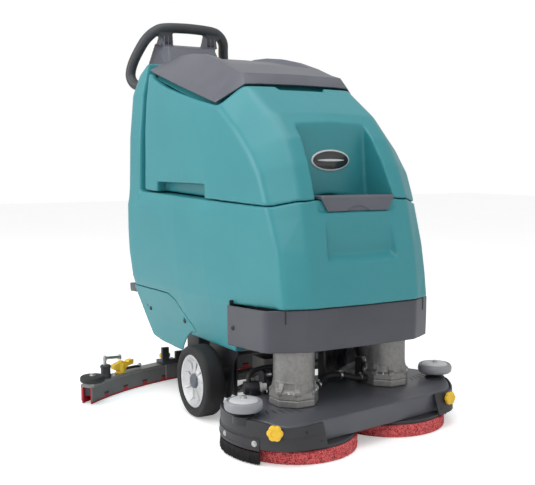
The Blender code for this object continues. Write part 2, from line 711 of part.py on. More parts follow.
def console_controls():
    knob = button("speed_knob", 0.0, 0.004, [(0, 0.016), (0.010, 0.016), (0.0125, 0.0135), (0.0145, 0.001),
                                               (0.0145, 0), (0, 0)], DARK)
    mushroom = [(0, 0.024), (0.010, 0.0235), (0.0155, 0.021), (0.0165, 0.016), (0.0150, 0.0125),
                (STOP_STEM, 0.0115), (STOP_STEM, -0.003), (0, -0.003)]
    stop = button("emergency_stop", *STOP_SPOT, mushroom, BUTTON_RED)
    push = [(0, 0.0055), (0.0060, 0.0055), (VACUUM_STEM, 0.0045), (VACUUM_STEM, -0.003), (0, -0.003)]
    vacuum = button("vacuum_button", *VACUUM_SPOT, push, GREY)
    _, side, rise = panel_frame()
    out = side.cross(rise)
    barrel = turned("key_switch", [(0, 0.006), (0.0085, 0.006), (0.0095, 0.004), (0.0095, 0), (0, 0)],
                    on_panel(-0.074, 0.006, 0.003 + 2 * GAP), STEEL, 16, out)
    foot = on_panel(-0.074, 0.006, 0.006)
    blade = plate("key_blade", [[(-0.0075, 0), (0.0075, 0), (0.0095, 0.018), (0.005, 0.026), (-0.005, 0.026),
                                 (-0.0095, 0.018)]], 0.0028, foot, rise, out, cutter=True)
    combine(barrel, blade)
    return knob, stop, vacuum, barrel


def handle_path(back=0.0, spread=0.0):
    """Half of the handle loop, from beside the console to the top centre, as (x, y, z)."""
    return [(0.166 + spread, 0.588 + back, 0.928), (0.172 + spread, 0.607 + back, 0.958),
            (0.165 + spread, 0.597 + back, 1.000), (0.149 + spread, 0.569 + back, 1.047),
            (0.136 + spread, 0.546 + back, 1.074), (0.114 + spread * 0.5, 0.533 + back, 1.094),
            (0.083, 0.528 + back, 1.105), (0.0, 0.527 + back, 1.109)]


def handle_loop():
    """The closed grab loop, whose feet turn in to the sides of the console."""
    foot = [(CONSOLE_HALF + 0.004, 0.545, 0.9175), (0.150, 0.552, 0.9175)]
    half = foot + handle_path()
    loop = tube("handle_loop", [(-x, y, z) for x, y, z in half] + list(reversed(half[:-1])), HANDLE_RADIUS, DARK,
                ring=2)
    cut(loop, console_clearance())
    return loop


def console_clearance():
    """The space of the console and its posts, with a little room around it."""
    half = CONSOLE_HALF + GAP
    middle = box("console_space", (-half, 0.40, 0.88), (half, 0.62, 1.062), cutter=True)
    for side in (-1, 1):
        low, high = sorted((side * (POST_INNER - 0.005), side * (POST_OUTER + 0.005)))
        combine(middle, box(f"post_space_{side}", (low, 0.510, 1.03), (high, 0.556, POST_TOP + GAP), cutter=True))
    return middle


def start_bail():
    """The yellow bail behind the handle that starts the drive when it is squeezed."""
    half = handle_path(back=HANDLE_RADIUS + 0.016, spread=0.003)[2:]
    bail = tube("start_bail", [(-x, y, z) for x, y, z in half] + list(reversed(half[:-1])), 0.0050, YELLOW)
    set_pivot(bail, (0, half[0][1], half[0][2]))
    return bail


# ---------------------------------------------------------------- chassis and drive
def chassis_frame():
    """Folded steel frame: floor plate, wheel plates, caster posts and lift ears."""
    frame = box("chassis_frame", (-0.185, -0.105, 0.188), (0.185, 0.355, 0.1985), BLACK)
    for side in (-1, 1):
        outline = [(-0.152, 0.1985), (-0.152, 0.178), (-0.128, 0.150), (-0.112, 0.060), (-0.098, 0.046),
                   (-0.030, 0.046), (0.004, 0.080), (0.012, 0.1985)]
        hole = circle((AXLE_Y, WHEEL_RADIUS), 0.0185, 12)
        wheel_plate = plate(f"wheel_plate_{side}", [outline, hole], 0.006, (side * 0.182, 0, 0), (0, 1, 0),
                            (0, 0, 1), cutter=True)
        post = box(f"caster_post_{side}", (side * CASTER_X - 0.040, CASTER_Y - 0.040, 0.1055),
                   (side * CASTER_X + 0.040, CASTER_Y + 0.040, 0.190), cutter=True)
        ear = box(f"squeegee_ear_{side}", (side * 0.046 - 0.004, LIFT_ARM[0] - 0.016, LIFT_ARM[1] - 0.016),
                  (side * 0.046 + 0.004, LIFT_ARM[0] + 0.016, 0.190), cutter=True)
        pedal_ear = box(f"pedal_ear_{side}", (side * 0.168 - 0.003, PEDAL_PIVOT[0] - 0.030, PEDAL_PIVOT[1] - 0.014),
                        (side * 0.168 + 0.003, PEDAL_PIVOT[0] + 0.014, 0.1945), cutter=True)
        combine(frame, wheel_plate, post, ear, pedal_ear)
    for word, inner, pivot_z in (("arm", 0.1585, LIFT_LOW[1]), ("link", 0.0160, LIFT_LOW[1] + LINK_RISE)):
        for side in (-1, 1):
            low_x, high_x = sorted((side * inner, side * (inner + 0.004)))
            combine(frame, box(f"{word}_ear_{side}", (low_x, -0.104, pivot_z - 0.014),
                               (high_x, LIFT_LOW[0] + 0.0125, 0.190), cutter=True))
    return frame


def transaxle():
    """Gearbox, motor and axle tubes between the drive wheels."""
    body = box("transaxle", (-0.060, AXLE_Y - 0.0215, 0.062), (0.060, AXLE_Y + 0.048, 0.135), CAST)
    axle = cylinder("axle", (-0.2135, AXLE_Y, WHEEL_RADIUS), (0.2135, AXLE_Y, WHEEL_RADIUS), 0.0150, cutter=True,
                    sides=12)
    motor = cylinder("drive_motor", (0.0, AXLE_Y + 0.035, 0.100), (0.128, AXLE_Y + 0.035, 0.100), 0.030,
                     cutter=True, sides=16)
    combine(body, axle, motor)
    return body


def wheel(side):
    """Tyre and hub of a drive wheel, outer face towards side."""
    word = "right" if side < 0 else "left"
    half = WHEEL_WIDTH / 2
    centre = (side * (WHEEL_OUTER_X - half), AXLE_Y, WHEEL_RADIUS)
    tread = [(RIM_RADIUS + 0.0003, half - 0.006), (RIM_RADIUS + 0.006, half), (WHEEL_RADIUS - 0.009, half),
             (WHEEL_RADIUS - 0.002, half - 0.006), (WHEEL_RADIUS, half - 0.015), (WHEEL_RADIUS, -half + 0.015),
             (WHEEL_RADIUS - 0.002, -half + 0.006), (WHEEL_RADIUS - 0.009, -half), (RIM_RADIUS + 0.006, -half),
             (RIM_RADIUS + 0.0003, -half + 0.006)]
    tyre = turned(f"drive_tyre_{word}", tread, centre, TYRE, 32, (side, 0, 0), closed=True)
    disc = [(0, half - 0.004), (0.017, half - 0.004), (0.020, half - 0.012), (0.054, half - 0.018),
            (0.058, half - 0.004), (RIM_RADIUS, half - 0.006), (RIM_RADIUS, -half + 0.006),
            (0.058, -half + 0.006), (0.052, half - 0.028), (0.030, half - 0.028), (0.024, -half), (0, -half)]
    hub = turned(f"drive_hub_{word}", disc, centre, CAST, 24, (side, 0, 0))
    return tyre, hub


def caster(side):
    """Fork and wheel of a rear caster, trailing behind its swivel."""
    word = "right" if side < 0 else "left"
    x, axle_y = side * CASTER_X, CASTER_Y + CASTER_TRAIL
    fork = cylinder(f"caster_fork_{word}", (x, CASTER_Y, 0.094), (x, CASTER_Y, 0.1052), 0.030, STEEL, sides=20)
    for cheek in (-1, 1):
        outline = [(CASTER_Y - 0.012, 0.098), (CASTER_Y + 0.022, 0.098), (axle_y + 0.010, 0.030),
                   (axle_y - 0.008, 0.028)]
        combine(fork, plate(f"cheek_{word}_{cheek}", [outline], 0.003, (x + cheek * 0.0185, 0, 0), (0, 1, 0),
                            (0, 0, 1), cutter=True))
    combine(fork, cylinder(f"caster_axle_{word}", (x - 0.020, axle_y, CASTER_RADIUS),
                           (x + 0.020, axle_y, CASTER_RADIUS), 0.0045, cutter=True, sides=10))
    set_pivot(fork, (x, CASTER_Y, 0.10))
    half = 0.0140
    tread = [(0.0055, half), (0.030, half), (0.035, half - 0.002), (CASTER_RADIUS, half - 0.007),
             (CASTER_RADIUS, -half + 0.007), (0.035, -half + 0.002), (0.030, -half), (0.0055, -half)]
    roll = turned(f"caster_wheel_{word}", tread, (x, axle_y, CASTER_RADIUS), DARK, 24, (1, 0, 0), closed=True)
    return fork, roll


def battery_pack():
    """Four deep-cycle blocks in one tray, in the well of the solution tank."""
    pack = box("battery_pack", (-0.180, -0.098, 0.2075), (0.180, 0.328, 0.455), DARK, bevel=0.006)
    for i, (x, y) in enumerate(((-0.09, 0.008), (0.09, 0.008), (-0.09, 0.222), (0.09, 0.222))):
        combine(pack, box(f"battery_cap_{i}", (x - 0.080, y - 0.020, 0.450), (x + 0.080, y + 0.020, 0.470),
                          cutter=True))
    return pack


def vacuum_motor():
    """The vacuum motor hangs in the recovery tank's dry corner, above its floor."""
    return turned("vacuum_motor", [(0, 0.150), (0.030, 0.150), (0.044, 0.140), (0.044, 0.090), (0.062, 0.080),
                                   (0.062, 0), (0, 0)], (0.0, 0.230, 0.6255), DARK, 20)


# ---------------------------------------------------------------- scrub deck
def deck_frame():
    """The deck's own axes: along the discs, and forward."""
    along = Vector((math.cos(DECK_SKEW), math.sin(DECK_SKEW), 0))
    forward = Vector((math.sin(DECK_SKEW), -math.cos(DECK_SKEW), 0))
    return along, forward


def disc_centre(side):
    along, _ = deck_frame()
    return DECK_CENTRE + along * (side * DISC_PITCH / 2)


def on_deck(u, v, z):
    """World point from deck coordinates: u along the discs, v forward."""
    along, forward = deck_frame()
    return DECK_CENTRE + along * u + forward * v + Vector((0, 0, z))


def deck_outline(rim, front, rear, steps=7):
    """Stadium with a straight front and rear, in (u, v) about the deck centre, from front right round to the rear."""
    half = DISC_PITCH / 2
    start = math.degrees(math.asin(front / rim))
    end = math.degrees(math.asin(rear / rim))
    right = [(-x, y) for x, y in arc((half, 0), rim, -end, start, steps)]
    left = arc((half, 0), rim, start, -end, steps)
    return right + left


def deck_ring(rim, front, rear, z, steps=7):
    return [tuple(on_deck(u, v, z)) for u, v in deck_outline(rim, front, rear, steps)]


def deck_housing():
    """The hollow deck: a rim with a crowned top that carries the motors."""
    top = [deck_ring(DECK_RIM - 0.004, DECK_FRONT - 0.002, DECK_REAR, DECK_BOTTOM),
           deck_ring(DECK_RIM, DECK_FRONT, DECK_REAR, DECK_TOP - 0.003),
           deck_ring(DECK_RIM - 0.004, DECK_FRONT - 0.003, DECK_REAR - 0.003, DECK_TOP),
           deck_ring(0.075, 0.070, 0.070, DECK_TOP + DECK_CROWN)]
    deck = loft("deck_housing", top, GREY)
    inner = loft("deck_hollow", [deck_ring(0.162, 0.120, 0.146, 0.0), deck_ring(0.162, 0.120, 0.146, 0.080)],
                 cutter=True)
    cut(deck, inner)
    for side in (-1, 1):
        combine(deck, cylinder(f"spindle_{side}", disc_centre(side) + Vector((0, 0, 0.060)),
                               disc_centre(side) + Vector((0, 0, 0.094)), 0.022, cutter=True, sides=16))
        for cheek in (-1, 1):
            x = side * 0.150 + cheek * 0.0125
            combine(deck, deck_ear(f"deck_ear_{side}_{cheek}", x, 0.0035, LIFT_DECK[1]))
        combine(deck, deck_ear(f"link_ear_{side}", side * 0.0165, 0.003, LIFT_DECK[1] + LINK_RISE))
    return deck


def deck_ear(name, x, half, pivot_z):
    """An upright ear for a lift pivot."""
    y = LIFT_DECK[0]
    return box(name, (x - half, y - 0.0135, 0.084), (x + half, y + 0.0135, pivot_z + 0.0135), cutter=True)


def brush_motor(side):
    """Cast gear motor over one disc, on an eight-sided foot."""
    word = "right" if side < 0 else "left"
    base = DECK_TOP + DECK_CROWN + GAP
    centre = disc_centre(side)
    motor = cylinder(f"brush_motor_{word}", centre + Vector((0, 0, base)), centre + Vector((0, 0, base + 0.034)),
                     0.0600, CAST, sides=8)
    can = cylinder(f"can_{word}", centre + Vector((0, 0, base + 0.030)), centre + Vector((0, 0, 0.268)), 0.0500,
                   cutter=True, sides=24)
    combine(motor, can)
    return motor


def band(name, outline_out, outline_in, low, high, paint):
    """A strip between two outlines in deck coordinates, standing from low to high."""
    points = [tuple(on_deck(u, v, 0))[:2] for u, v in outline_out + list(reversed(outline_in))]
    return plate(name, [points], high - low, (0, 0, (low + high) / 2), (1, 0, 0), (0, 1, 0), paint)


def end_arc(side, radius, front, start, end, steps):
    """Points round one end of the deck: angles in degrees from straight ahead (90) to the rear (-90)."""
    half = DISC_PITCH / 2
    points = arc((half, 0), radius, start, end, steps)
    points = [(u, min(v, front)) for u, v in points]
    return [(side * u, v) for u, v in points]


def skirt(side):
    """Black wrap-around skirt with its front tab, clear of the deck rim."""
    word = "right" if side < 0 else "left"
    inner_r, outer_r = DECK_RIM + 0.0012, DECK_RIM + 0.0065
    flat = math.degrees(math.asin(DECK_FRONT / DECK_RIM))
    front_in, front_out = DECK_FRONT + 0.0012, DECK_FRONT + 0.0065
    half = DISC_PITCH / 2
    tab = half + (0.002 if side < 0 else 0.065)
    outer = [(side * tab, front_out)] + end_arc(side, outer_r, front_out, flat, -52, 9)
    inner = [(side * tab, front_in)] + end_arc(side, inner_r, front_in, flat, -52, 9)
    wrap = band(f"skirt_{word}", outer, inner, DECK_BOTTOM, DECK_TOP - 0.001, DARK)
    outer = end_arc(side, outer_r + 0.0015, 1.0, 24, -51, 8)
    inner = end_arc(side, inner_r + 0.001, 1.0, 24, -51, 8)
    lower = band(f"brush_holder_{word}", outer, inner, BRISTLE_TOP, 0.060, None)
    return combine(wrap, lower)


def splash_brush(side):
    """Bristle strip below the rear part of the skirt."""
    word = "right" if side < 0 else "left"
    outer = end_arc(side, DECK_RIM + 0.0065, 1.0, 24, -52, 8)
    inner = end_arc(side, DECK_RIM - 0.0005, 1.0, 24, -52, 8)
    return band(f"splash_brush_{word}", outer, inner, 0.002, BRISTLE_TOP - GAP, BRISTLE)


ROLLER_SPOTS = {-1: Vector((-0.312, -0.420, 0.0)), 1: Vector((0.303, -0.360, 0.0))}


def deck_roller(side):
    """Guide roller that keeps the deck off a wall."""
    word = "right" if side < 0 else "left"
    profile = [(0, 0.038), (0.034, 0.0375), (0.0375, 0.0405), (0.0415, 0.038), (0.0446, 0.031), (0.0446, 0.017),
               (0.0415, 0.008), (0.036, 0.005), (0, 0.005)]
    spot = ROLLER_SPOTS[side] + Vector((0, 0, DECK_TOP + 0.0145))
    return turned(f"deck_roller_{word}", profile, spot, ROLLER, 24)


def pad_driver(side):
    word = "right" if side < 0 else "left"
    profile = [(0, 0.0260), (0.112, 0.0260), (0.117, 0.0100), (0.1455, 0.0085), (0.1465, 0), (0, 0)]
    spot = disc_centre(side) + Vector((0, 0, PAD_THICK + GAP))
    return turned(f"pad_driver_{word}", profile, spot, DARK, 32)


def scrub_pad(side):
    word = "right" if side < 0 else "left"
    profile = [(0, PAD_THICK), (PAD_RADIUS - 0.002, PAD_THICK), (PAD_RADIUS, PAD_THICK - 0.004),
               (PAD_RADIUS, 0.004), (PAD_RADIUS - 0.003, 0), (0, 0)]
    return turned(f"scrub_pad_{word}", profile, disc_centre(side), RED, 40)


def star_knob(name, foot, out, radius, paint, lobes=7, thick=0.011):
    """A lobed hand knob whose face looks along out, on a short neck."""
    out = Vector(out).normalized()
    across = out.cross(Vector((0, 0, 1)) if abs(out.z) < 0.9 else Vector((1, 0, 0))).normalized()
    up = out.cross(across)
    points = []
    for i in range(4 * lobes):
        a = 2 * math.pi * i / (4 * lobes)
        r = radius * (0.88 + 0.12 * math.cos(lobes * a))
        points.append((r * math.cos(a), r * math.sin(a)))
    foot = Vector(foot)
    knob = plate(name, [points], thick, foot + out * (0.006 + thick / 2), across, up, paint)
    neck = cylinder(f"{name}_neck", foot, foot + out * 0.010, radius * 0.5, cutter=True, sides=12)
    combine(knob, neck)
    return knob


def skirt_knob(side):
    """The right-hand knob sits round the corner of the deck, the left-hand one on its straight front."""
    half = DISC_PITCH / 2
    along, forward = deck_frame()
    if side < 0:
        angle = math.radians(37)
        reach = DECK_RIM + 0.0068
        foot = on_deck(-half - reach * math.cos(angle), reach * math.sin(angle), 0.083)
        return star_knob("skirt_knob_right", foot, forward * math.sin(angle) - along * math.cos(angle), 0.0185, YELLOW)
    return star_knob("skirt_knob_left", on_deck(0.245, DECK_FRONT + 0.0068, 0.074), forward, 0.0170, YELLOW)


def solution_valve():
    """Solenoid valve behind the right motor, with its spout on the deck."""
    body = cylinder("solution_valve", (-0.226, -0.262, 0.1190), (-0.190, -0.274, 0.1190), 0.0165, BLACK, sides=16)
    neck = cylinder("valve_neck", (-0.194, -0.273, 0.1190), (-0.166, -0.282, 0.1190), 0.0080, cutter=True, sides=12)
    foot = box("valve_foot", (-0.218, -0.284, DECK_TOP + 0.0085), (-0.190, -0.254, 0.1150), cutter=True)
    combine(body, neck, foot)
    return body


# ---------------------------------------------------------------- deck lift
def lift_arms():
    """Two lower arms joined by a cross tube, from the chassis to the deck."""
    (low_y, low_z), (deck_y, deck_z) = LIFT_LOW, LIFT_DECK
    arms = tube("lift_arms", [(-0.1555, low_y, low_z), (0.1555, low_y, low_z)], 0.0085, STEEL)
    for side in (-1, 1):
        x = side * 0.150
        combine(arms, tube(f"arm_{side}", [(x, low_y + 0.003, low_z), (x, deck_y + 0.004, deck_z)], 0.0075,
                           cutter=True))
        combine(arms, cylinder(f"arm_eye_{side}", (x - 0.0085, deck_y, deck_z), (x + 0.0085, deck_y, deck_z),
                               0.0115, cutter=True, sides=12))
    set_pivot(arms, (0, low_y, low_z))
    return arms


def upper_link():
    """The single upper link that keeps the deck level as it lifts."""
    low = (LIFT_LOW[0], LIFT_LOW[1] + LINK_RISE)
    high = (LIFT_DECK[0], LIFT_DECK[1] + LINK_RISE)
    link = cylinder("upper_link", (-0.0130, *low), (0.0130, *low), 0.0105, STEEL, sides=12)
    bar = tube("link_bar", [(0, low[0] + 0.002, low[1]), (0, high[0] - 0.002, high[1])], 0.0065, cutter=True)
    eye = cylinder("link_eye", (-0.0130, *high), (0.0130, *high), 0.0105, cutter=True, sides=12)
    combine(link, bar, eye)
    set_pivot(link, (0, *low))
    return link


def foot_pedal(name, side):
    """A rear foot pedal on a bent arm."""
    y, z = PEDAL_PIVOT
    outline = [(y - 0.010, z - 0.006), (y + 0.060, z + 0.004), (0.462, 0.236), (0.478, 0.258), (0.540, 0.254),
               (0.544, 0.286), (0.468, 0.296), (0.452, 0.262), (0.438, 0.240), (y + 0.050, z + 0.018),
               (y - 0.006, z + 0.008)]
    arm = plate(name, [outline], 0.010, (side * 0.184, 0, 0), (0, 1, 0), (0, 0, 1), GREY)
    pad = plate(f"{name}_pad", [[(0.472, 0.262), (0.538, 0.258), (0.542, 0.284), (0.472, 0.292)]], 0.052,
                (side * 0.184, 0, 0), (0, 1, 0), (0, 0, 1), cutter=True)
    combine(arm, pad)
    set_pivot_of_turned(arm, (side * 0.184, y, z))
    return arm


# ---------------------------------------------------------------- squeegee
def squeegee_arc(offset, spare=0):
    """Points (x, y) on the squeegee's arc, pushed back by offset, with spare steps past each end."""
    centre_y = SQUEEGEE_BACK - SQUEEGEE_RADIUS
    reach = math.degrees(math.asin(SQUEEGEE_HALF / SQUEEGEE_RADIUS))
    over = reach * (1 + spare / SQUEEGEE_STEPS)
    return arc((0, centre_y), SQUEEGEE_RADIUS + offset, 90 + over, 90 - over, 2 * (SQUEEGEE_STEPS + spare) + 1)


def squeegee_band(name, near, far, low, high, paint=None, cutter=False, spare=0):
    outline = squeegee_arc(near, spare) + list(reversed(squeegee_arc(far, spare)))
    return plate(name, [outline], high - low, (0, 0, (low + high) / 2), (1, 0, 0), (0, 1, 0), paint, cutter)


def squeegee_channel():
    """Inverted channel that grips both blades, with an arm to each tip roller and the suction port."""
    channel = squeegee_band("squeegee_channel", -0.0075, BLADE_PITCH + 0.0075, CHANNEL_LOW, CHANNEL_TOP, GREY)
    hollow = squeegee_band("channel_hollow", -0.0048, BLADE_PITCH + 0.0048, 0.0, CHANNEL_TOP - 0.008, cutter=True,
                           spare=1)
    cut(channel, hollow)
    port = cylinder("suction_port", (0, 0.372, CHANNEL_TOP - 0.003), (0, 0.388, 0.108), 0.0160, cutter=True,
                    sides=16)
    combine(channel, port)
    for side in (-1, 1):
        x, y = TIP_ROLLER
        arm = [(x - 0.013, y), (x, y - 0.013), (x + 0.009, y), (0.456, 0.215), (0.436, 0.240), (0.420, 0.225)]
        outline = [(side * u, v) for u, v in arm]
        roller_arm = plate(f"roller_arm_{side}", [outline], 0.0100, (0, 0, CHANNEL_TOP + 0.0045), (1, 0, 0), (0, 1, 0),
                           cutter=True)
        spindle = cylinder(f"roller_spindle_{side}", (side * x, y, CHANNEL_TOP + 0.005),
                           (side * x, y, TIP_ROLLER_Z - GAP), 0.007, cutter=True, sides=12)
        combine(channel, roller_arm, spindle)
    return channel


def blades():
    top = CHANNEL_TOP - 0.0085
    front = squeegee_band("front_blade", -0.0042, -0.0010, 0.0005, top, BLADE_RED)
    rear = squeegee_band("rear_blade", BLADE_PITCH + 0.0010, BLADE_PITCH + 0.0042, 0.0005, top, BLADE_RED)
    return front, rear


def tip_roller(side):
    word = "right" if side < 0 else "left"
    profile = [(0, 0.018), (0.029, 0.018), (0.0335, 0.015), (0.0345, 0.012), (0.0345, 0.006), (0.0335, 0.003),
               (0.029, 0), (0, 0)]
    return turned(f"tip_roller_{word}", profile, (side * TIP_ROLLER[0], TIP_ROLLER[1], TIP_ROLLER_Z), TYRE, 24)


def squeegee_arm():
    """Lift arm from the chassis to the swing pivot of the squeegee."""
    y, z = LIFT_ARM
    arm = cylinder("squeegee_arm", (-0.0415, y, z), (0.0415, y, z), 0.0110, BLACK, sides=12)
    outline = [(y - 0.006, z - 0.008), (SWING_Y + 0.020, 0.0980), (SWING_Y + 0.020, 0.1160), (y - 0.002, z + 0.008)]
    for side in (-1, 1):
        combine(arm, plate(f"arm_plate_{side}", [outline], 0.005, (side * 0.028, 0, 0), (0, 1, 0), (0, 0, 1),
                           cutter=True))
    foot = box("arm_foot", (-0.034, SWING_Y - 0.034, 0.0940), (0.034, SWING_Y + 0.034, 0.1040), cutter=True)
    combine(arm, foot)
    set_pivot(arm, (0, y, z))
    return arm


def squeegee_mount():
    """Black bracket that swings under the arm and holds the channel down with two hand knobs."""
    mount = box("squeegee_mount", (-0.070, SWING_Y - 0.030, 0.0800), (0.070, MOUNT_Y + 0.006, 0.0880), BLACK)
    boss = cylinder("mount_boss", (0, SWING_Y, 0.084), (0, SWING_Y, 0.0936), 0.026, cutter=True, sides=16)
    low, rail, high, tip = CHANNEL_TOP + 0.0005, 0.070, 0.092, 0.108
    end, inner, web = KNOB_X + 0.022, KNOB_X, 0.150
    outline = [(-end, low), (end, low), (end, tip), (inner, tip), (inner, rail), (web, rail), (web, high),
               (-web, high), (-web, rail), (-inner, rail), (-inner, tip), (-end, tip)]
    wall = plate("mount_wall", [outline], 0.012, (0, MOUNT_Y, 0), (1, 0, 0), (0, 0, 1), cutter=True)
    combine(mount, boss, wall)
    for side in (-1, 1):
        low_x, high_x = sorted((side * 0.140, side * end))
        combine(mount, box(f"mount_foot_{side}", (low_x, MOUNT_Y, low), (high_x, MOUNT_Y + 0.044, low + 0.0095),
                           cutter=True))
    return mount


def mount_knob(side):
    word = "right" if side < 0 else "left"
    foot = (side * KNOB_X, MOUNT_Y + 0.028, CHANNEL_TOP + 0.010 + GAP)
    return star_knob(f"mount_knob_{word}", foot, (0, 0, 1), 0.0175, YELLOW, lobes=4, thick=0.013)


def blade_latch():
    """Yellow cam lever that tensions the rear blade, over the right half of the channel."""
    x, y = LATCH
    low = CHANNEL_TOP + 0.0004
    latch = cylinder("blade_latch", (x, y, low), (x, y, low + 0.036), 0.0120, YELLOW, sides=12)
    lever = box("latch_lever", (x - 0.010, y - 0.008, low + 0.020), (x + 0.052, y + 0.008, low + 0.033), cutter=True)
    turn = Matrix.Translation((x, y, 0)) @ Matrix.Rotation(math.radians(28), 4, "Z") @ Matrix.Translation((-x, -y, 0))
    lever.data.transform(turn)
    combine(latch, lever)
    set_pivot(latch, (x, y, low))
    return latch


def drain_hose():
    """Drain hose clipped to the back of the column, its cap hooked up beside the console."""
    points = [(0.140, 0.5060, 0.300), (0.150, 0.5065, 0.420), (0.158, 0.5065, 0.560), (0.160, 0.5065, 0.700),
              (0.150, 0.5065, 0.780), (0.128, 0.5075, 0.838), (0.090, 0.5080, 0.856), (0.052, 0.5080, 0.838),
              (0.034, 0.5080, 0.790), (0.030, 0.5080, 0.720)]
    return tube("drain_hose", points, 0.0190, DARK, ring=1)


def vacuum_hose():
    """The part of the suction hose that hangs on the back of the body."""
    points = [(-0.060, 0.5080, 0.520), (-0.060, 0.5110, 0.420), (-0.050, 0.5120, 0.320), (-0.035, 0.508, 0.245)]
    return tube("vacuum_hose", points, 0.0190, DARK, ring=1)


# ---------------------------------------------------------------- assembly
def centre_on_box():
    """Moves everything so that the origin is under the middle of the whole machine."""
    for made in list(MACHINE.objects) + list(CUTTERS.objects):
        if made.parent is None:
            made.location.y += SHIFT_Y


def build():
    clear_scene()
    solution_tank()
    side_panel("right_side_panel", -1)
    side_panel("left_side_panel", 1)
    front_skirt()
    tank = recovery_tank()
    tank_hinge_pin()
    motor = vacuum_motor()
    lid = tank_lid()
    fill_cover()
    console_housing()
    control_panel()
    console_controls()
    handle_loop()
    start_bail()
    chassis_frame()
    transaxle()
    battery_pack()
    for side in (-1, 1):
        wheel(side)
        caster(side)
    tilt = group("recovery_tilt", (HINGE_X, 0, HINGE_Z), [tank, motor])
    group("lid_pivot", lid.location, [], tilt)
    deck_pieces = [deck_housing(), solution_valve()]
    for side in (-1, 1):
        deck_pieces += [brush_motor(side), skirt(side), splash_brush(side), deck_roller(side), pad_driver(side),
                        scrub_pad(side), skirt_knob(side)]
    group("deck_pivot", (0, *LIFT_DECK), deck_pieces)
    lift_arms()
    upper_link()
    foot_pedal("deck_pedal", -1)
    foot_pedal("squeegee_pedal", 1)
    squeegee_arm()
    swinging = [squeegee_mount(), squeegee_channel(), *blades(), mount_knob(-1), mount_knob(1), blade_latch(),
                tip_roller(-1), tip_roller(1)]
    group("squeegee_swing", (0, SWING_Y, 0.090), swinging)
    drain_hose()
    vacuum_hose()
    centre_on_box()


build()
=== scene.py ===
"""Looks of the walk-behind floor scrubber: fine pieces, materials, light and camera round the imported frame.

Sizes are in metres. Places are written with the deck and body where the CAD source models them; SHIFT then
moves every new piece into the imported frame. The machine's own right side is -X and it drives towards -Y.
"""
import json
import math
import random

import bmesh
import bpy
from mathutils import Matrix, Vector, noise

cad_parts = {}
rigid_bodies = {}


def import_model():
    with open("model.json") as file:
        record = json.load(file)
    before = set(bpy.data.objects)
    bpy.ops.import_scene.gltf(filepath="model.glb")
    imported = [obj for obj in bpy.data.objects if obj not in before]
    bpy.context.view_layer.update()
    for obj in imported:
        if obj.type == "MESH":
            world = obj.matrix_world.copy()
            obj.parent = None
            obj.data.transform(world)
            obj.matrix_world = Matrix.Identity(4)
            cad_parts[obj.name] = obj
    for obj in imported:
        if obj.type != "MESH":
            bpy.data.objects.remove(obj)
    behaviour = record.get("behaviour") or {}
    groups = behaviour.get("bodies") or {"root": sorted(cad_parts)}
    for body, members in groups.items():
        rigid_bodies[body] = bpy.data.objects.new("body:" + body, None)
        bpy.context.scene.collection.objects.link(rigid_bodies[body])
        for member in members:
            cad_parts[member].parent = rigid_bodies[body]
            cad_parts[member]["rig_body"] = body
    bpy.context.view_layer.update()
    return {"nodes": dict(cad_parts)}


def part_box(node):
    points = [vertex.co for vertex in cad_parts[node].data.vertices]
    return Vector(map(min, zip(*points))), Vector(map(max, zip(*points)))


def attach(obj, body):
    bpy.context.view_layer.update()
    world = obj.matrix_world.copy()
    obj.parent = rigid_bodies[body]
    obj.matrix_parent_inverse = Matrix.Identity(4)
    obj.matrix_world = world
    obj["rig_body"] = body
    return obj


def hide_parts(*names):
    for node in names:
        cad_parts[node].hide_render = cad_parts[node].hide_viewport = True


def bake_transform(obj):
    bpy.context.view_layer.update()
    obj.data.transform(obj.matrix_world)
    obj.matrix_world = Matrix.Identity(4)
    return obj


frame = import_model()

SIDES = {"right": -1, "left": 1}
RANDOM = random.Random(7)


def middle(node):
    low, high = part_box(node)
    return (low + high) / 2


AXLE_Y = -0.056  # drive axle in the modelling frame
SHIFT = Vector((0.0, middle("drive_tyre_right").y - AXLE_Y, 0.0))

# The deck, shared by the housing, skirts, bristles, motors and pads.
DECK_CENTRE = Vector((0.0, -0.36, 0.0))
DECK_SKEW = math.radians(8.5)
ALONG = Vector((math.cos(DECK_SKEW), math.sin(DECK_SKEW), 0.0))
FORWARD = Vector((math.sin(DECK_SKEW), -math.cos(DECK_SKEW), 0.0))
HALF_PITCH = 0.157
DECK_RIM, DECK_FRONT, DECK_REAR = 0.17, 0.126, 0.152
DECK_CORNER, CORNER_START = 0.034, 68.0  # width of the soft front corner, and its first angle
EDGE_FALL = 0.058  # how far in from front and rear the deck's top falls
SKIRT_GAP, SKIRT_WALL = 0.0012, 0.0048
SKIRT_END = -52.0  # the angle where the skirt ends, behind the middle
SKIRT_FLARE = 0.017  # how much further forward the skirt's lower edge reaches
SKIRT_LOW, HOLDER_LOW = 0.038, 0.0345
DECK_LOW, DECK_TOP, DECK_CROWN = 0.042, 0.09, 0.012
BRISTLE_TOP = 0.0287
PAD_RADIUS, PAD_THICK = 0.1525, 0.031
WHEEL_RADIUS, WHEEL_HALF, WHEEL_X = 0.096, 0.029, 0.245
RIM_RADIUS = 0.07
SQUEEGEE_RADIUS, SQUEEGEE_BACK, SQUEEGEE_HALF = 0.743, 0.36, 0.466
SQUEEGEE_CENTRE_Y = SQUEEGEE_BACK - SQUEEGEE_RADIUS
TIP_X, TIP_Y = 0.463, 0.182  # the rollers at the squeegee's ends
CHANNEL_LOW, CHANNEL_TOP, BLADE_PITCH = 0.007, 0.054, 0.022
HANDLE_RADIUS, HOSE_RADIUS = 0.0165, 0.018


# ---------------------------------------------------------------- materials
ROUGH_SPREAD, SPECK_BLUR = 0.06, 0.12


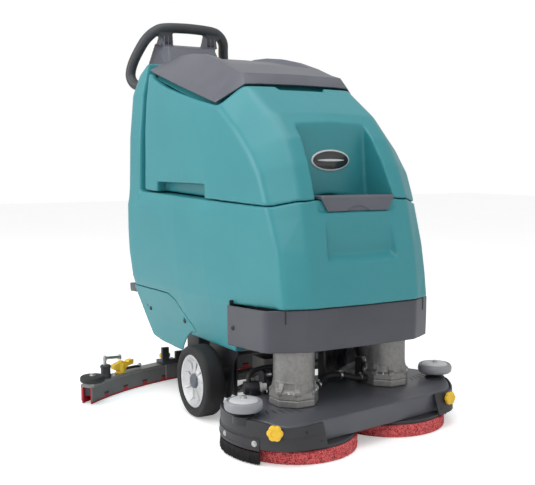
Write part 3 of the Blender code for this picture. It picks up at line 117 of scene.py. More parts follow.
def look(name, dark, light, rough, scale=9.0, grain=900.0, bump=0.12, depth=0.0003, metal=0.0,
         stretch=(1, 1, 1), edge=0.0015, specks=None, coat=0.0):
    """A finish whose colour drifts from dark to light, with fine grain and softly rounded edges.

    scale and grain are the sizes of the drift and the grain, and depth is the relief in metres."""
    made = bpy.data.materials.new(name)
    made.use_nodes = True
    nodes, links = made.node_tree.nodes, made.node_tree.links
    shader = nodes["Principled BSDF"]
    place = nodes.new("ShaderNodeTexCoord")
    mapping = nodes.new("ShaderNodeMapping")
    mapping.inputs["Scale"].default_value = stretch
    links.new(place.outputs["Object"], mapping.inputs["Vector"])

    def pattern(size, detail):
        made_noise = nodes.new("ShaderNodeTexNoise")
        made_noise.inputs["Scale"].default_value = size
        made_noise.inputs["Detail"].default_value = detail
        links.new(mapping.outputs["Vector"], made_noise.inputs["Vector"])
        return made_noise.outputs["Fac"]

    broad, fine = pattern(scale, 3.0), pattern(grain, 2.0)
    ramp = nodes.new("ShaderNodeValToRGB")
    ramp.color_ramp.elements[0].position = 0.35
    ramp.color_ramp.elements[0].color = (*dark, 1.0)
    ramp.color_ramp.elements[1].position = 0.65
    ramp.color_ramp.elements[1].color = (*light, 1.0)
    links.new(broad, ramp.inputs["Fac"])
    colour = ramp.outputs["Color"]
    if specks:
        cells = nodes.new("ShaderNodeTexNoise")
        cells.inputs["Scale"].default_value = specks["scale"]
        cells.inputs["Detail"].default_value = 1.0
        links.new(mapping.outputs["Vector"], cells.inputs["Vector"])
        mask = nodes.new("ShaderNodeValToRGB")
        mask.color_ramp.elements[0].position = specks["share"]
        mask.color_ramp.elements[0].color = (*specks["colour"], 1.0)
        mask.color_ramp.elements[1].position = specks["share"] + SPECK_BLUR
        mask.color_ramp.elements[1].color = (1.0, 1.0, 1.0, 1.0)
        links.new(cells.outputs["Fac"], mask.inputs["Fac"])
        blend = nodes.new("ShaderNodeMixRGB")
        blend.blend_type = "MULTIPLY"
        blend.inputs["Fac"].default_value = 1.0
        links.new(colour, blend.inputs["Color1"])
        links.new(mask.outputs["Color"], blend.inputs["Color2"])
        colour = blend.outputs["Color"]
    links.new(colour, shader.inputs["Base Color"])
    spread = nodes.new("ShaderNodeMapRange")
    spread.inputs["To Min"].default_value = rough - ROUGH_SPREAD
    spread.inputs["To Max"].default_value = rough + ROUGH_SPREAD
    links.new(fine, spread.inputs["Value"])
    links.new(spread.outputs["Result"], shader.inputs["Roughness"])
    shader.inputs["Metallic"].default_value = metal
    shader.inputs["Coat Weight"].default_value = coat
    relief = nodes.new("ShaderNodeBump")
    relief.inputs["Strength"].default_value = bump
    relief.inputs["Distance"].default_value = depth
    links.new(fine, relief.inputs["Height"])
    if edge:
        rounding = nodes.new("ShaderNodeBevel")
        rounding.samples = 4
        rounding.inputs["Radius"].default_value = edge
        links.new(rounding.outputs["Normal"], relief.inputs["Normal"])
    links.new(relief.outputs["Normal"], shader.inputs["Normal"])
    return made


LOOKS = {
    "teal_plastic": look("moulded_teal", (0.03, 0.232, 0.262), (0.034, 0.248, 0.278), 0.38, scale=5.0,
                         edge=0.003),
    "grey_plastic": look("moulded_grey", (0.056, 0.059, 0.074), (0.066, 0.069, 0.085), 0.4, edge=0.002),
    "dark_plastic": look("moulded_dark", (0.022, 0.023, 0.026), (0.031, 0.032, 0.036), 0.46, bump=0.3),
    "yellow_plastic": look("moulded_yellow", (0.78, 0.47, 0.02), (0.9, 0.58, 0.04), 0.35, edge=0.001),
    "red_plastic": look("moulded_red", (0.56, 0.01, 0.012), (0.68, 0.02, 0.02), 0.3, edge=0.001),
    "red_pad": look("scrub_fibre", (0.56, 0.07, 0.08), (0.8, 0.15, 0.15), 0.9, scale=140.0, grain=420.0,
                    bump=1.0, depth=0.002, edge=0.0,
                    specks={"scale": 330.0, "share": 0.36, "colour": (0.16, 0.02, 0.03)}),
    "red_rubber": look("blade_rubber", (0.42, 0.012, 0.02), (0.56, 0.022, 0.032), 0.5, edge=0.0006),
    "black_paint": look("black_paint", (0.014, 0.015, 0.018), (0.024, 0.025, 0.029), 0.42, bump=0.2),
    "tyre_rubber": look("tyre_rubber", (0.009, 0.009, 0.01), (0.015, 0.015, 0.016), 0.62, bump=0.35,
                        edge=0.001),
    "cast_aluminium": look("cast_aluminium", (0.215, 0.213, 0.208), (0.262, 0.259, 0.252), 0.42, scale=120.0,
                           grain=700.0, bump=0.22, depth=0.0003, metal=0.55),
    "steel": look("zinc_steel", (0.44, 0.44, 0.44), (0.62, 0.62, 0.61), 0.32, metal=1.0, bump=0.1,
                  stretch=(1, 1, 6)),
    "roller_plastic": look("roller_grey", (0.235, 0.243, 0.262), (0.28, 0.288, 0.308), 0.38),
    "bristle": look("bristle_black", (0.008, 0.008, 0.009), (0.022, 0.022, 0.024), 0.8, edge=0.0),
}
RIM_SILVER = look("rim_silver", (0.56, 0.565, 0.575), (0.68, 0.685, 0.695), 0.38, metal=0.35, bump=0.06)
CAP_GREY = look("hub_cap_grey", (0.095, 0.105, 0.13), (0.12, 0.13, 0.16), 0.45)
PALE_GREY = look("pale_grey", (0.5, 0.505, 0.52), (0.58, 0.585, 0.6), 0.38)
WHITE = look("fitting_white", (0.76, 0.76, 0.75), (0.86, 0.86, 0.85), 0.4)
CHANNEL_GREY = look("channel_grey", (0.125, 0.125, 0.127), (0.155, 0.155, 0.157), 0.45, bump=0.2)
# The same grey plastic made lighter for the lid, fill cover and console: the extra lightness is painted top
# light.
PAINTED_TOP_LIGHT_GREY = look("painted_top_light_grey", (0.092, 0.096, 0.117), (0.106, 0.11, 0.134), 0.38, edge=0.002)
# A lighter grey for the deck: painted light, making up for the shade the body above casts on the deck's top.
DECK_PAINTED_LIGHT_GREY = look("deck_painted_light_grey", (0.074, 0.077, 0.091), (0.086, 0.089, 0.104), 0.36, edge=0.002)
GRIP_BLACK = look("grip_black", (0.034, 0.036, 0.041), (0.044, 0.046, 0.052), 0.5, bump=0.3)
# The nodes drawn in the grey with painted top light.
PAINTED_TOP_LIGHT_NODES = ("tank_lid", "fill_cover", "console_housing")
BADGE_DARK = look("badge_dark", (0.012, 0.014, 0.014), (0.02, 0.023, 0.023), 0.25, coat=0.5)
GLASS = look("display_glass", (0.012, 0.02, 0.026), (0.02, 0.032, 0.04), 0.12, coat=1.0, bump=0.02)
LAMP_GREEN = look("lamp_green", (0.03, 0.42, 0.06), (0.05, 0.52, 0.09), 0.25)


# ---------------------------------------------------------------- shape helpers
UPRIGHT = (0, 0, 1)


def skin(work, low, high):
    """Faces between two rings of vertices; a ring of one vertex is a point."""
    count = max(len(low), len(high))
    for i in range(count):
        j = (i + 1) % count
        if len(low) == 1:
            corners = (low[0], high[j], high[i])
        elif len(high) == 1:
            corners = (low[i], low[j], high[0])
        else:
            corners = (low[i], low[j], high[j], high[i])
        work.faces.new(corners)


def add_rings(work, rings, closed=False):
    """A skin over rings of points, which start and end on a single point or a flat face."""
    rows = [[work.verts.new(p) for p in ring] for ring in rings]
    for low, high in zip(rows, rows[1:]):
        skin(work, low, high)
    if closed:
        skin(work, rows[-1], rows[0])
        return
    for row in (rows[0], rows[-1]):
        if len(row) > 2:
            work.faces.new(row)


def add_turned(work, profile, centre, axis=UPRIGHT, steps=64, closed=False):
    """A profile of (radius, height) turned about an axis through centre."""
    turn = Vector(axis).to_track_quat("Z", "Y").to_matrix()
    rings = []
    for radius, height in profile:
        count = 1 if radius < 1e-6 else steps
        ring = []
        for i in range(count):
            a = 2 * math.pi * i / steps
            ring.append(Vector(centre) + turn @ Vector((radius * math.cos(a), radius * math.sin(a), height)))
        rings.append(ring)
    add_rings(work, rings, closed)


def add_rod(work, start, end, radius, sides=24, end_radius=None):
    start, end = Vector(start), Vector(end)
    last = radius if end_radius is None else end_radius
    add_turned(work, [(radius, 0.0), (last, (end - start).length)], start, end - start, sides)


def add_tube(work, points, radius, sides=16):
    """A round bar or hose along points; radius is one value, or one for each point."""
    points = [Vector(p) for p in points]
    radii = radius if isinstance(radius, list) else [radius] * len(points)
    across = Vector(UPRIGHT)
    turns = [2 * math.pi * k / sides for k in range(sides)]
    rings = []
    for i, point in enumerate(points):
        ahead = (points[min(i + 1, len(points) - 1)] - points[max(i - 1, 0)]).normalized()
        if abs(ahead.dot(across)) > 0.98:
            across = Vector((1.0, 0.0, 0.0))
        across = (across - ahead * across.dot(ahead)).normalized()
        side = ahead.cross(across)
        rings.append([point + (across * math.cos(a) + side * math.sin(a)) * radii[i] for a in turns])
    add_rings(work, rings)


def spline(points, per=8):
    """A smooth line through points (Catmull-Rom), with per steps in each stretch."""
    points = [Vector(p) for p in points]
    padded = [points[0] * 2 - points[1]] + points + [points[-1] * 2 - points[-2]]
    line = []
    for a, b, c, d in zip(padded, padded[1:], padded[2:], padded[3:]):
        for k in range(per):
            t = k / per
            line.append((b * 2 + (c - a) * t + (a * 2 - b * 5 + c * 4 - d) * t * t
                         + (b * 3 - a - c * 3 + d) * t ** 3) / 2)
    return line + [points[-1]]


def add_prism(work, outline, low, high, centre=(0, 0, 0), across=(1, 0, 0), up=(0, 1, 0)):
    """An outline of (u, v) in the plane of across and up, drawn out from low to high along their normal."""
    centre, across, up = Vector(centre), Vector(across), Vector(up)
    out = across.cross(up)
    add_rings(work, [[centre + across * u + up * v + out * h for u, v in outline] for h in (low, high)])


def add_box(work, low, high):
    (x0, y0, z0), (x1, y1, z1) = low, high
    add_prism(work, [(x0, y0), (x1, y0), (x1, y1), (x0, y1)], z0, z1)


SUNK = 0.001  # how far a screw's head goes into what it holds


def add_dome(work, at, out, radius, height):
    """A round-headed screw with a hollow drive."""
    add_turned(work, [(0, height * 0.5), (radius * 0.35, height * 0.5), (radius * 0.42, height),
                      (radius * 0.75, height * 0.8), (radius, height * 0.3), (radius, -SUNK), (0, -SUNK)],
               at, out, 20)


def add_bolt(work, at, out, radius, height):
    """A hexagon head on a washer."""
    at, out = Vector(at), Vector(out).normalized()
    washer = radius * 1.35
    add_turned(work, [(0, height * 0.25), (washer, height * 0.25), (washer, -SUNK), (0, -SUNK)], at, out, 24)
    add_turned(work, [(0, height), (radius * 0.8, height), (radius, height * 0.85), (radius, 0), (0, 0)],
               at, out, 6)


def turned_piece(name, profile, at, out, steps, slot, body, stands_for=(), finish=None, angle=35):
    """A piece that is one turned shape, closed where its profile never reaches the axis."""
    work = bmesh.new()
    add_turned(work, profile, at, out, steps, closed=profile[0][0] > 0)
    add_piece(name, work, slot, body, stands_for, finish, angle)


def add_collar(work, at, out, outer, inner, low, high, steps=40):
    """A plain ring round an axis, from low to high along it."""
    add_turned(work, [(outer, low), (outer, high), (inner, high), (inner, low)], at, out, steps, closed=True)


def mesh_of(name, work):
    """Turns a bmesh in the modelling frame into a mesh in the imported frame."""
    bmesh.ops.recalc_face_normals(work, faces=work.faces)
    mesh = bpy.data.meshes.new(name)
    work.to_mesh(mesh)
    work.free()
    mesh.transform(Matrix.Translation(SHIFT))
    return mesh


def linked(name, data):
    """A new object, linked into the scene."""
    made = bpy.data.objects.new(name, data)
    bpy.context.scene.collection.objects.link(made)
    return made


def new_object(name, mesh, finish):
    """An object of a mesh, smooth and in one finish."""
    mesh.materials.clear()
    mesh.materials.append(finish)
    mesh.shade_smooth()
    return linked(name, mesh)


def on_body(made, body, stands_for):
    """Says which body a piece rides on, and hides the CAD nodes it stands for."""
    if body:
        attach(made, body)
    if stands_for:
        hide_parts(*stands_for)
    return made


def add_piece(name, work, slot, body, stands_for=(), finish=None, angle=35):
    """Turns a bmesh into a piece; edges turning more than angle degrees stay sharp."""
    made = new_object(name, mesh_of(name, work), finish or LOOKS[slot])
    made.data.set_sharp_from_angle(angle=math.radians(angle))
    return on_body(made, body, stands_for)


def welded_copy(node):
    """The CAD node's mesh as a bmesh, welded and with its flat faces joined up."""
    work = bmesh.new()
    work.from_mesh(frame["nodes"][node].data)
    bmesh.ops.remove_doubles(work, verts=work.verts, dist=0.00002)
    bmesh.ops.dissolve_limit(work, angle_limit=math.radians(0.6), verts=work.verts, edges=work.edges)
    bmesh.ops.translate(work, verts=work.verts, vec=-SHIFT)
    return work


def node_slot(node):
    return frame["nodes"][node].data.materials[0].name.split(".")[0]


def node_finish(node):
    # The lid, fill cover and console get the grey with painted top light.
    return PAINTED_TOP_LIGHT_GREY if node in PAINTED_TOP_LIGHT_NODES else LOOKS[node_slot(node)]


SHARP_EDGE = math.radians(32)


def refined(node, width=0.0012):
    """A copy of a CAD node with its edges rounded, in the finish of its material slot, or in the grey with
    painted top light for the lid, fill cover and console.
    """
    work = welded_copy(node)
    sharp = [e for e in work.edges if len(e.link_faces) == 2 and e.calc_face_angle(0) > SHARP_EDGE]
    bmesh.ops.bevel(work, geom=sharp, offset=width, segments=2, profile=0.6, affect="EDGES",
                    clamp_overlap=True)
    return add_piece(f"{node}_fine", work, node_slot(node), frame["nodes"][node]["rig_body"], [node],
                     node_finish(node))


MELT_PASSES = 60


def moulded(name, work, voxel, passes, slot, body, stands_for, finish=None, melting=None):
    """A piece whose edges and corners are all melted round, as rotational moulding leaves them.

    melting gives the share of further melting at a place."""
    finish = finish or LOOKS[slot]
    raw = new_object(name + "_raw", mesh_of(name + "_raw", work), finish)
    melt = raw.modifiers.new("melt", "REMESH")
    melt.mode = "VOXEL"
    melt.voxel_size = voxel * 1
    melt.use_smooth_shade = True
    relax = raw.modifiers.new("relax", "SMOOTH")
    relax.factor = 0.5
    relax.iterations = passes
    mesh = bpy.data.meshes.new_from_object(raw.evaluated_get(bpy.context.evaluated_depsgraph_get()))
    bpy.data.objects.remove(raw)
    if melting:
        mesh = melted(mesh, melting)
    return on_body(new_object(name, mesh, finish), body, stands_for)


def melted(mesh, melting):
    """The mesh smoothed further, by the share that melting gives at each vertex."""
    soft = linked("soft", mesh)
    group = soft.vertex_groups.new(name="melt")
    for vert in mesh.vertices:
        share = melting(vert.co - SHIFT)
        if share > 0.0:
            group.add([vert.index], share, "REPLACE")
    relax = soft.modifiers.new("relax", "SMOOTH")
    relax.vertex_group = "melt"
    relax.iterations = MELT_PASSES
    made = bpy.data.meshes.new_from_object(soft.evaluated_get(bpy.context.evaluated_depsgraph_get()))
    bpy.data.objects.remove(soft)
    return made


def moulded_copy(node, voxel, passes, melting=None):
    return moulded(f"{node}_shell", welded_copy(node), voxel, passes, node_slot(node),
                   frame["nodes"][node]["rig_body"], [node], finish=node_finish(node), melting=melting)


# ---------------------------------------------------------------- body, lid, console and handle
MELT_LOW, MELT_TOP, RECESS_HALF, RECESS_TOP = 0.64, 0.86, 0.135, 0.8


def relaxed_face(place):
    """How far the upper body may melt at a place: fully, except near the seam, the recess and the rim."""
    if place.z < MELT_LOW or (abs(place.x) < RECESS_HALF and place.z < RECESS_TOP) or place.z > MELT_TOP:
        return 0.0
    return min(1.0, (place.z - MELT_LOW) / 0.04, (MELT_TOP - place.z) / 0.02)


LEDGE_CENTRE_Y, LEDGE_WIDE, LEDGE_LONG, LEDGE_DROP = 0.1, 0.955, 0.96, 0.02


def lid_seal():
    """The ledge inside the lid's edge, which closes the gap between lid and tank."""
    work = welded_copy("tank_lid")
    for vert in work.verts:
        vert.co = Vector((vert.co.x * LEDGE_WIDE, LEDGE_CENTRE_Y + (vert.co.y - LEDGE_CENTRE_Y) * LEDGE_LONG,
                          vert.co.z - LEDGE_DROP))
    add_piece("lid_seal", work, "teal_plastic", "tank_lid")


def skirt_backing():
    """The dark undertray behind the front skirt, with a flange that closes each rear edge of the skirt."""
    work = bmesh.new()
    half, edge = 0.205, 0.244
    profile = [(-0.225, 0.296), (-0.425, 0.302), (-0.425, 0.344), (-0.225, 0.332)]
    add_prism(work, profile, -half, half, (0, 0, 0), (0, 1, 0), UPRIGHT)
    for side in SIDES.values():
        near, far = sorted((side * half, side * edge))
        add_box(work, (near, -0.224, 0.228), (far, -0.22, 0.334))
    add_piece("undertray", work, "black_paint", "machine")


def body_shells():
    moulded_copy("recovery_tank", 0.003, 10, relaxed_face)
    moulded_copy("solution_tank", 0.003, 10)
    lid_seal()
    skirt_backing()
    moulded_copy("front_skirt", 0.0018, 5)
    console_shell()
    # The fill cover is drawn in the grey with painted top light.
    moulded_copy("fill_cover", 0.0014, 4)
    for word in SIDES:
        moulded_copy(f"{word}_side_panel", 0.0018, 4)
    # The lid is drawn in the grey with painted top light.
    refined("tank_lid", 0.0022)


POD_HALF, POD_LEAN, POD_FOOT = 0.126, 0.155, 0.925
POD_PINCH, PINCH_START, PINCH_LONG = 0.024, 0.56, 0.05


def console_shell():
    """The console pod, its sides leaning in towards the top and the front, with ribs up its two posts."""
    work = welded_copy("console_housing")
    for vert in work.verts:
        if abs(vert.co.x) > 0.11:
            pinch = min(1.0, max(0.0, (PINCH_START - vert.co.y) / PINCH_LONG))
            half = POD_HALF - POD_LEAN * max(0.0, vert.co.z - POD_FOOT) - POD_PINCH * pinch
            vert.co.x = math.copysign(half, vert.co.x)
    for side in SIDES.values():
        for x in (0.062, 0.076, 0.09):
            rib = [(0.514, 1.04), (0.519, 1.04), (0.519, 1.08), (0.516, 1.08)]
            add_prism(work, rib, -0.0017, 0.0017, (side * x, 0, 0), (0, 1, 0), UPRIGHT)
    # The pod is drawn in the grey with painted top light.
    moulded("console_shell", work, 0.0016, 5, "grey_plastic", "machine", ["console_housing"], finish=PAINTED_TOP_LIGHT_GREY)


def body_screws():
    work = bmesh.new()
    for side in SIDES.values():
        for x, y, z in ((0.2331, 0.3108, 0.2359), (0.2326, 0.0671, 0.2349), (0.2467, -0.2458, 0.2686)):
            add_dome(work, (side * x, y, z), (side, 0, 0), 0.0062, 0.0038)
    add_piece("body_screws", work, "black_paint", "machine")


def add_oval(work, centre, half_wide, half_high, low, high, steps=48):
    ring = [(half_wide * math.cos(2 * math.pi * i / steps), half_high * math.sin(2 * math.pi * i / steps))
            for i in range(steps)]
    soft = [(u * 0.97, v * 0.95) for u, v in ring]
    centre = Vector(centre)
    rows = [(ring, low), (ring, high - 0.0008), (soft, high)]
    add_rings(work, [[centre + Vector((u, -h, v)) for u, v in outline] for outline, h in rows])


def badge():
    """A plain oval plate in the recess of the recovery tank, with no lettering on it."""
    for part, half_wide, half_high, low, high, slot, finish in (
            ("rim", 0.0575, 0.0265, -0.001, 0.003, "steel", RIM_SILVER),
            ("plate", 0.053, 0.0228, 0.001, 0.004, "dark_plastic", BADGE_DARK),
            ("bar", 0.04, 0.003, 0.003, 0.0048, "steel", RIM_SILVER)):
        work = bmesh.new()
        add_oval(work, (0.0015, -0.3, 0.68), half_wide, half_high, low, high)
        add_piece(f"badge_{part}", work, slot, "recovery_tank", finish=finish)


def handle_half(back=0.0, spread=0.0):
    """Half of the handle loop from beside the console to the top centre."""
    return [(0.166 + spread, 0.588 + back, 0.928), (0.172 + spread, 0.607 + back, 0.958),
            (0.165 + spread, 0.597 + back, 1.0), (0.149 + spread, 0.569 + back, 1.047),
            (0.136 + spread, 0.546 + back, 1.074), (0.114 + spread * 0.5, 0.533 + back, 1.094),
            (0.083, 0.528 + back, 1.105), (0.0, 0.527 + back, 1.109)]


def whole_loop(half):
    """The half, mirrored, and then back along the half itself."""
    return [(-x, y, z) for x, y, z in half] + list(reversed(half[:-1]))


def handle():
    """The grab loop, with webs where it meets the posts, all melted into one moulding."""
    work = bmesh.new()
    feet = [(0.122, 0.545, 0.9175), (0.148, 0.553, 0.918)]
    add_tube(work, spline(whole_loop(feet + handle_half()), 8), HANDLE_RADIUS, 24)
    for side in SIDES.values():
        web = [(side * u, v) for u, v in ((0.046, 1.106), (0.06, 1.086), (0.064, 1.056), (0.092, 1.056),
                                          (0.094, 1.07), (0.116, 1.09), (0.1, 1.104))]
        add_prism(work, web, -0.0125, 0.0125, (0, 0.53, 0), (1, 0, 0), UPRIGHT)
    moulded("handle_grip", work, 0.0018, 9, "dark_plastic", "machine", ["handle_loop"], finish=GRIP_BLACK)
    bail = bmesh.new()
    add_tube(bail, spline(whole_loop(handle_half(HANDLE_RADIUS + 0.016, 0.003)[2:]), 8), 0.005, 16)
    add_piece("start_bail_bar", bail, "yellow_plastic", "start_bail", ["start_bail"])


PANEL_HIGH, PANEL_LOW = Vector((0, 0.56, 1.058)), Vector((0, 0.612, 0.955))
PANEL_UP = (PANEL_HIGH - PANEL_LOW).normalized()
PANEL_SIDE = Vector((-1, 0, 0))
PANEL_OUT = PANEL_SIDE.cross(PANEL_UP)
PANEL_SKIN = 0.0036


def on_panel(across, up, lift=PANEL_SKIN):
    return (PANEL_HIGH + PANEL_LOW) / 2 + PANEL_SIDE * across + PANEL_UP * up + PANEL_OUT * lift


STOP_AT, BUTTON_AT, KNOB_AT = (0.07, 0.01), (-0.038, 0.01), (0.0, 0.004)


def console():
    """Switches and lamps on the control panel at the back."""
    refined("control_panel", 0.0008)
    refined("key_switch", 0.0004)
    stop = [(0, 0.024), (0.01, 0.0235), (0.0155, 0.021), (0.0168, 0.0165), (0.015, 0.0125), (0.0095, 0.0115),
            (0.0095, -0.003), (0, -0.003)]
    turned_piece("emergency_stop_head", stop, on_panel(*STOP_AT), PANEL_OUT, 48, "red_plastic",
                 "emergency_stop", ["emergency_stop"])
    work = bmesh.new()
    add_collar(work, on_panel(*STOP_AT), PANEL_OUT, 0.0185, 0.0125, 0, 0.0016, 48)
    add_collar(work, on_panel(*BUTTON_AT), PANEL_OUT, 0.0112, 0.0088, 0, 0.0012)
    add_piece("switch_rings", work, "yellow_plastic", "machine")
    button = [(0, 0.0055), (0.006, 0.0055), (0.0075, 0.0045), (0.0075, -0.003), (0, -0.003)]
    turned_piece("vacuum_button_cap", button, on_panel(*BUTTON_AT), PANEL_OUT, 40, "grey_plastic",
                 "vacuum_button", ["vacuum_button"], PALE_GREY)
    speed_knob()
    work = bmesh.new()
    window = [(-0.03, -0.04), (0.03, -0.04), (0.03, -0.022), (-0.03, -0.022)]
    add_prism(work, window, PANEL_SKIN - 0.001, PANEL_SKIN + 0.0006, (PANEL_HIGH + PANEL_LOW) / 2, PANEL_SIDE,
              PANEL_UP)
    add_piece("charge_window", work, "dark_plastic", "machine", finish=GLASS)
    work = bmesh.new()
    for i in range(5):
        add_turned(work, [(0, 0.0014), (0.0014, 0.0011), (0.002, 0.0), (0.002, -0.001), (0, -0.001)],
                   on_panel(-0.022 + 0.011 * i, -0.031, PANEL_SKIN + 0.0006), PANEL_OUT, 20)
    add_piece("charge_lamps", work, "dark_plastic", "machine", finish=LAMP_GREEN)


def speed_knob():
    """A fluted knob with a raised pointer."""
    work = bmesh.new()
    steps, flutes = 96, 16
    rings = []
    centre = on_panel(*KNOB_AT)
    for radius, height, flute in ((0.0142, 0.0, 0.0), (0.0142, 0.002, 0.5), (0.0122, 0.0135, 1.0),
                                  (0.01, 0.016, 0.2)):
        ring = []
        for i in range(steps):
            a = 2 * math.pi * i / steps
            r = radius - 0.0006 * flute * (1 + math.cos(flutes * a))
            ring.append(centre + PANEL_SIDE * r * math.cos(a) + PANEL_UP * r * math.sin(a)
                        + PANEL_OUT * height)
        rings.append(ring)
    add_rings(work, rings)
    pointer = [(-0.0008, 0.0), (0.0008, 0.0), (0.0008, 0.0095), (-0.0008, 0.0095)]
    add_prism(work, pointer, 0.0155, 0.0168, centre, PANEL_SIDE, PANEL_UP)
    add_piece("speed_knob_cap", work, "dark_plastic", "speed_knob", ["speed_knob"], angle=40)


# ---------------------------------------------------------------- wheels
def drive_wheel(word, side):
    centre = (side * WHEEL_X, AXLE_Y, WHEEL_RADIUS)
    out = (side, 0, 0)
    half, body = WHEEL_HALF, f"drive_wheel_{word}"
    bead = [(RIM_RADIUS + grow, half - inset) for grow, inset in
            ((0.0003, 0.006), (0.002, 0.0015), (0.006, 0))]
    wall = [(WHEEL_RADIUS - shrink, half - inset) for shrink, inset in
            ((0.018, -0.0004), (0.0165, 0.0008), (0.009, 0.0004), (0.005, 0.002), (0.002, 0.006),
             (0.0004, 0.011), (0, 0.017))]
    profile = bead + wall + [(r, -h) for r, h in reversed(bead + wall)]
    turned_piece(f"tyre_{word}", profile, centre, out, 128, "tyre_rubber", body, [f"drive_tyre_{word}"],
                 angle=30)

    work = bmesh.new()
    dish = [(r, half - inset) for r, inset in
            ((0, 0.012), (0.0255, 0.012), (0.029, 0.015), (0.054, 0.018), (0.0595, 0.0115), (0.0625, 0.0045),
             (0.066, 0.003), (RIM_RADIUS, 0.0045))]
    dish += [(RIM_RADIUS, -half + 0.006), (0.06, -half + 0.006), (0.054, half - 0.028), (0.03, half - 0.028),
             (0.024, -half), (0, -half)]
    add_turned(work, dish, centre, out, 96)
    spokes = 9
    for i in range(spokes):
        a = 2 * math.pi * (i + 0.3) / spokes
        across = Vector((0, math.cos(a), math.sin(a)))
        up = Vector(out)
        rib = [(0.022, half - 0.018), (0.022, half - 0.01), (0.032, half - 0.0122), (0.05, half - 0.0145),
               (0.0605, half - 0.008), (0.0605, half - 0.018)]
        add_prism(work, rib, -0.002, 0.002, centre, across, up)
    add_piece(f"wheel_rim_{word}", work, "cast_aluminium", body, [f"drive_hub_{word}"], finish=RIM_SILVER)
    cap = [(r, half - inset) for r, inset in
           ((0, 0.0035), (0.013, 0.004), (0.0168, 0.0052), (0.019, 0.008), (0.0194, 0.013), (0, 0.013))]
    turned_piece(f"wheel_cap_{word}", cap, centre, out, 64, "grey_plastic", body, finish=CAP_GREY)

    # Black slits between the spokes, thin slivers on the solid dish: painted shade for the dark openings
    # there.
    work = bmesh.new()
    for i in range(spokes):
        a = 2 * math.pi * (i + 0.3) / spokes + 0.085
        across = Vector((0, math.cos(a), math.sin(a)))
        slit = [(0.034, half - 0.02), (0.034, half - 0.015), (0.052, half - 0.0172), (0.052, half - 0.022)]
        add_prism(work, slit, -0.0008, 0.0008, centre, across, Vector(out))
    add_piece(f"wheel_slot_shade_{word}", work, "black_paint", body)


def caster(word, side):
    radius, half = 0.0375, 0.014
    tread = [(0.0055, half), (0.02, half), (0.022, half - 0.003), (0.027, half - 0.003), (0.029, half),
             (0.033, half - 0.0006), (0.036, half - 0.003), (radius, half - 0.008)]
    turned_piece(f"caster_roll_{word}", tread + [(r, -h) for r, h in reversed(tread)],
                 (side * 0.12, 0.19, radius), (1, 0, 0), 72, "dark_plastic", f"caster_wheel_{word}",
                 [f"caster_wheel_{word}"])
    refined(f"caster_fork_{word}", 0.0008)


# ---------------------------------------------------------------- scrub deck
def on_deck(u, v, z):
    return DECK_CENTRE + ALONG * u + FORWARD * v + Vector((0, 0, z))


def disc_centre(side, z=0.0):
    return on_deck(side * HALF_PITCH, 0.0, z)


def soft_least(value, cap, blend):
    """The lesser of two values, the change from one to the other rounded over blend."""
    share = max(blend - abs(value - cap), 0.0) / blend
    return min(value, cap) - share * share * blend / 4


def deck_arc(radius, start, end, steps, cap=1.0):
    """Points (u, v) round the left end; angles in degrees from straight ahead (90) to the rear (-90).

    The end runs into the straight front, cap ahead of the middle, in a soft corner."""
    points = []
    for i in range(steps + 1):
        a = math.radians(start + (end - start) * i / steps)
        ahead = soft_least(radius * math.sin(a), cap, DECK_CORNER)
        points.append((HALF_PITCH + radius * math.cos(a), ahead))
    return points


def deck_outline(rim, front, rear, steps=40):
    left = deck_arc(rim, CORNER_START, -math.degrees(math.asin(rear / rim)), steps, front)
    return left + [(-u, v) for u, v in reversed(left)]


def deck_ring(rim, front, rear, z):
    return [on_deck(u, v, z) for u, v in deck_outline(rim, front, rear)]


def deck_height(v):
    """The height of the deck's top, which falls away towards its front and rear edges."""
    share = min(1.0, max(0.0, min(DECK_FRONT - v, DECK_REAR + v) / EDGE_FALL))
    return DECK_TOP + DECK_CROWN * share * share * (3 - 2 * share)


def deck_top_ring(rim, front, rear, drop):
    return [on_deck(u, v, deck_height(v) - drop) for u, v in deck_outline(rim, front, rear)]


def deck_housing():
    """The hollow deck with a rounded rim, its lift ears and louvres beside each roller, the louvres being
    slivers of painted shade.
    """
    inner, ceiling = (0.162, 0.12, 0.146), 0.08
    rows = [[on_deck(0, 0, ceiling)], deck_ring(*inner, ceiling), deck_ring(*inner, DECK_LOW),
            deck_ring(DECK_RIM - 0.004, DECK_FRONT - 0.002, DECK_REAR, DECK_LOW)]
    for drop, inset in ((0.005, 0.0), (0.0034, 0.0004), (0.0018, 0.0013), (0.0006, 0.0028), (0.0, 0.005)):
        rows.append(deck_top_ring(DECK_RIM - inset, DECK_FRONT - inset, DECK_REAR - inset, drop))
    for inset in (0.009, 0.015, 0.022, 0.03, 0.038, 0.046, 0.056, 0.08):
        rows.append(deck_top_ring(DECK_RIM - inset, DECK_FRONT - inset, DECK_REAR - inset, 0.0))
    rows.append([on_deck(0, 0, DECK_TOP + DECK_CROWN)])
    work = bmesh.new()
    add_rings(work, rows)
    # The deck's lighter grey is painted light.
    deck = add_piece("deck_shell", work, "grey_plastic", "deck", ["deck_housing"], finish=DECK_PAINTED_LIGHT_GREY, angle=24)
    louvres(deck)
    ears = bmesh.new()
    for side in SIDES.values():
        for x, half, pivot_z in ((0.1375, 0.0035, 0.14), (0.1625, 0.0035, 0.14), (0.0165, 0.003, 0.19)):
            add_ear(ears, side * x, half, pivot_z)
    add_piece("deck_ears", ears, "black_paint", "deck")


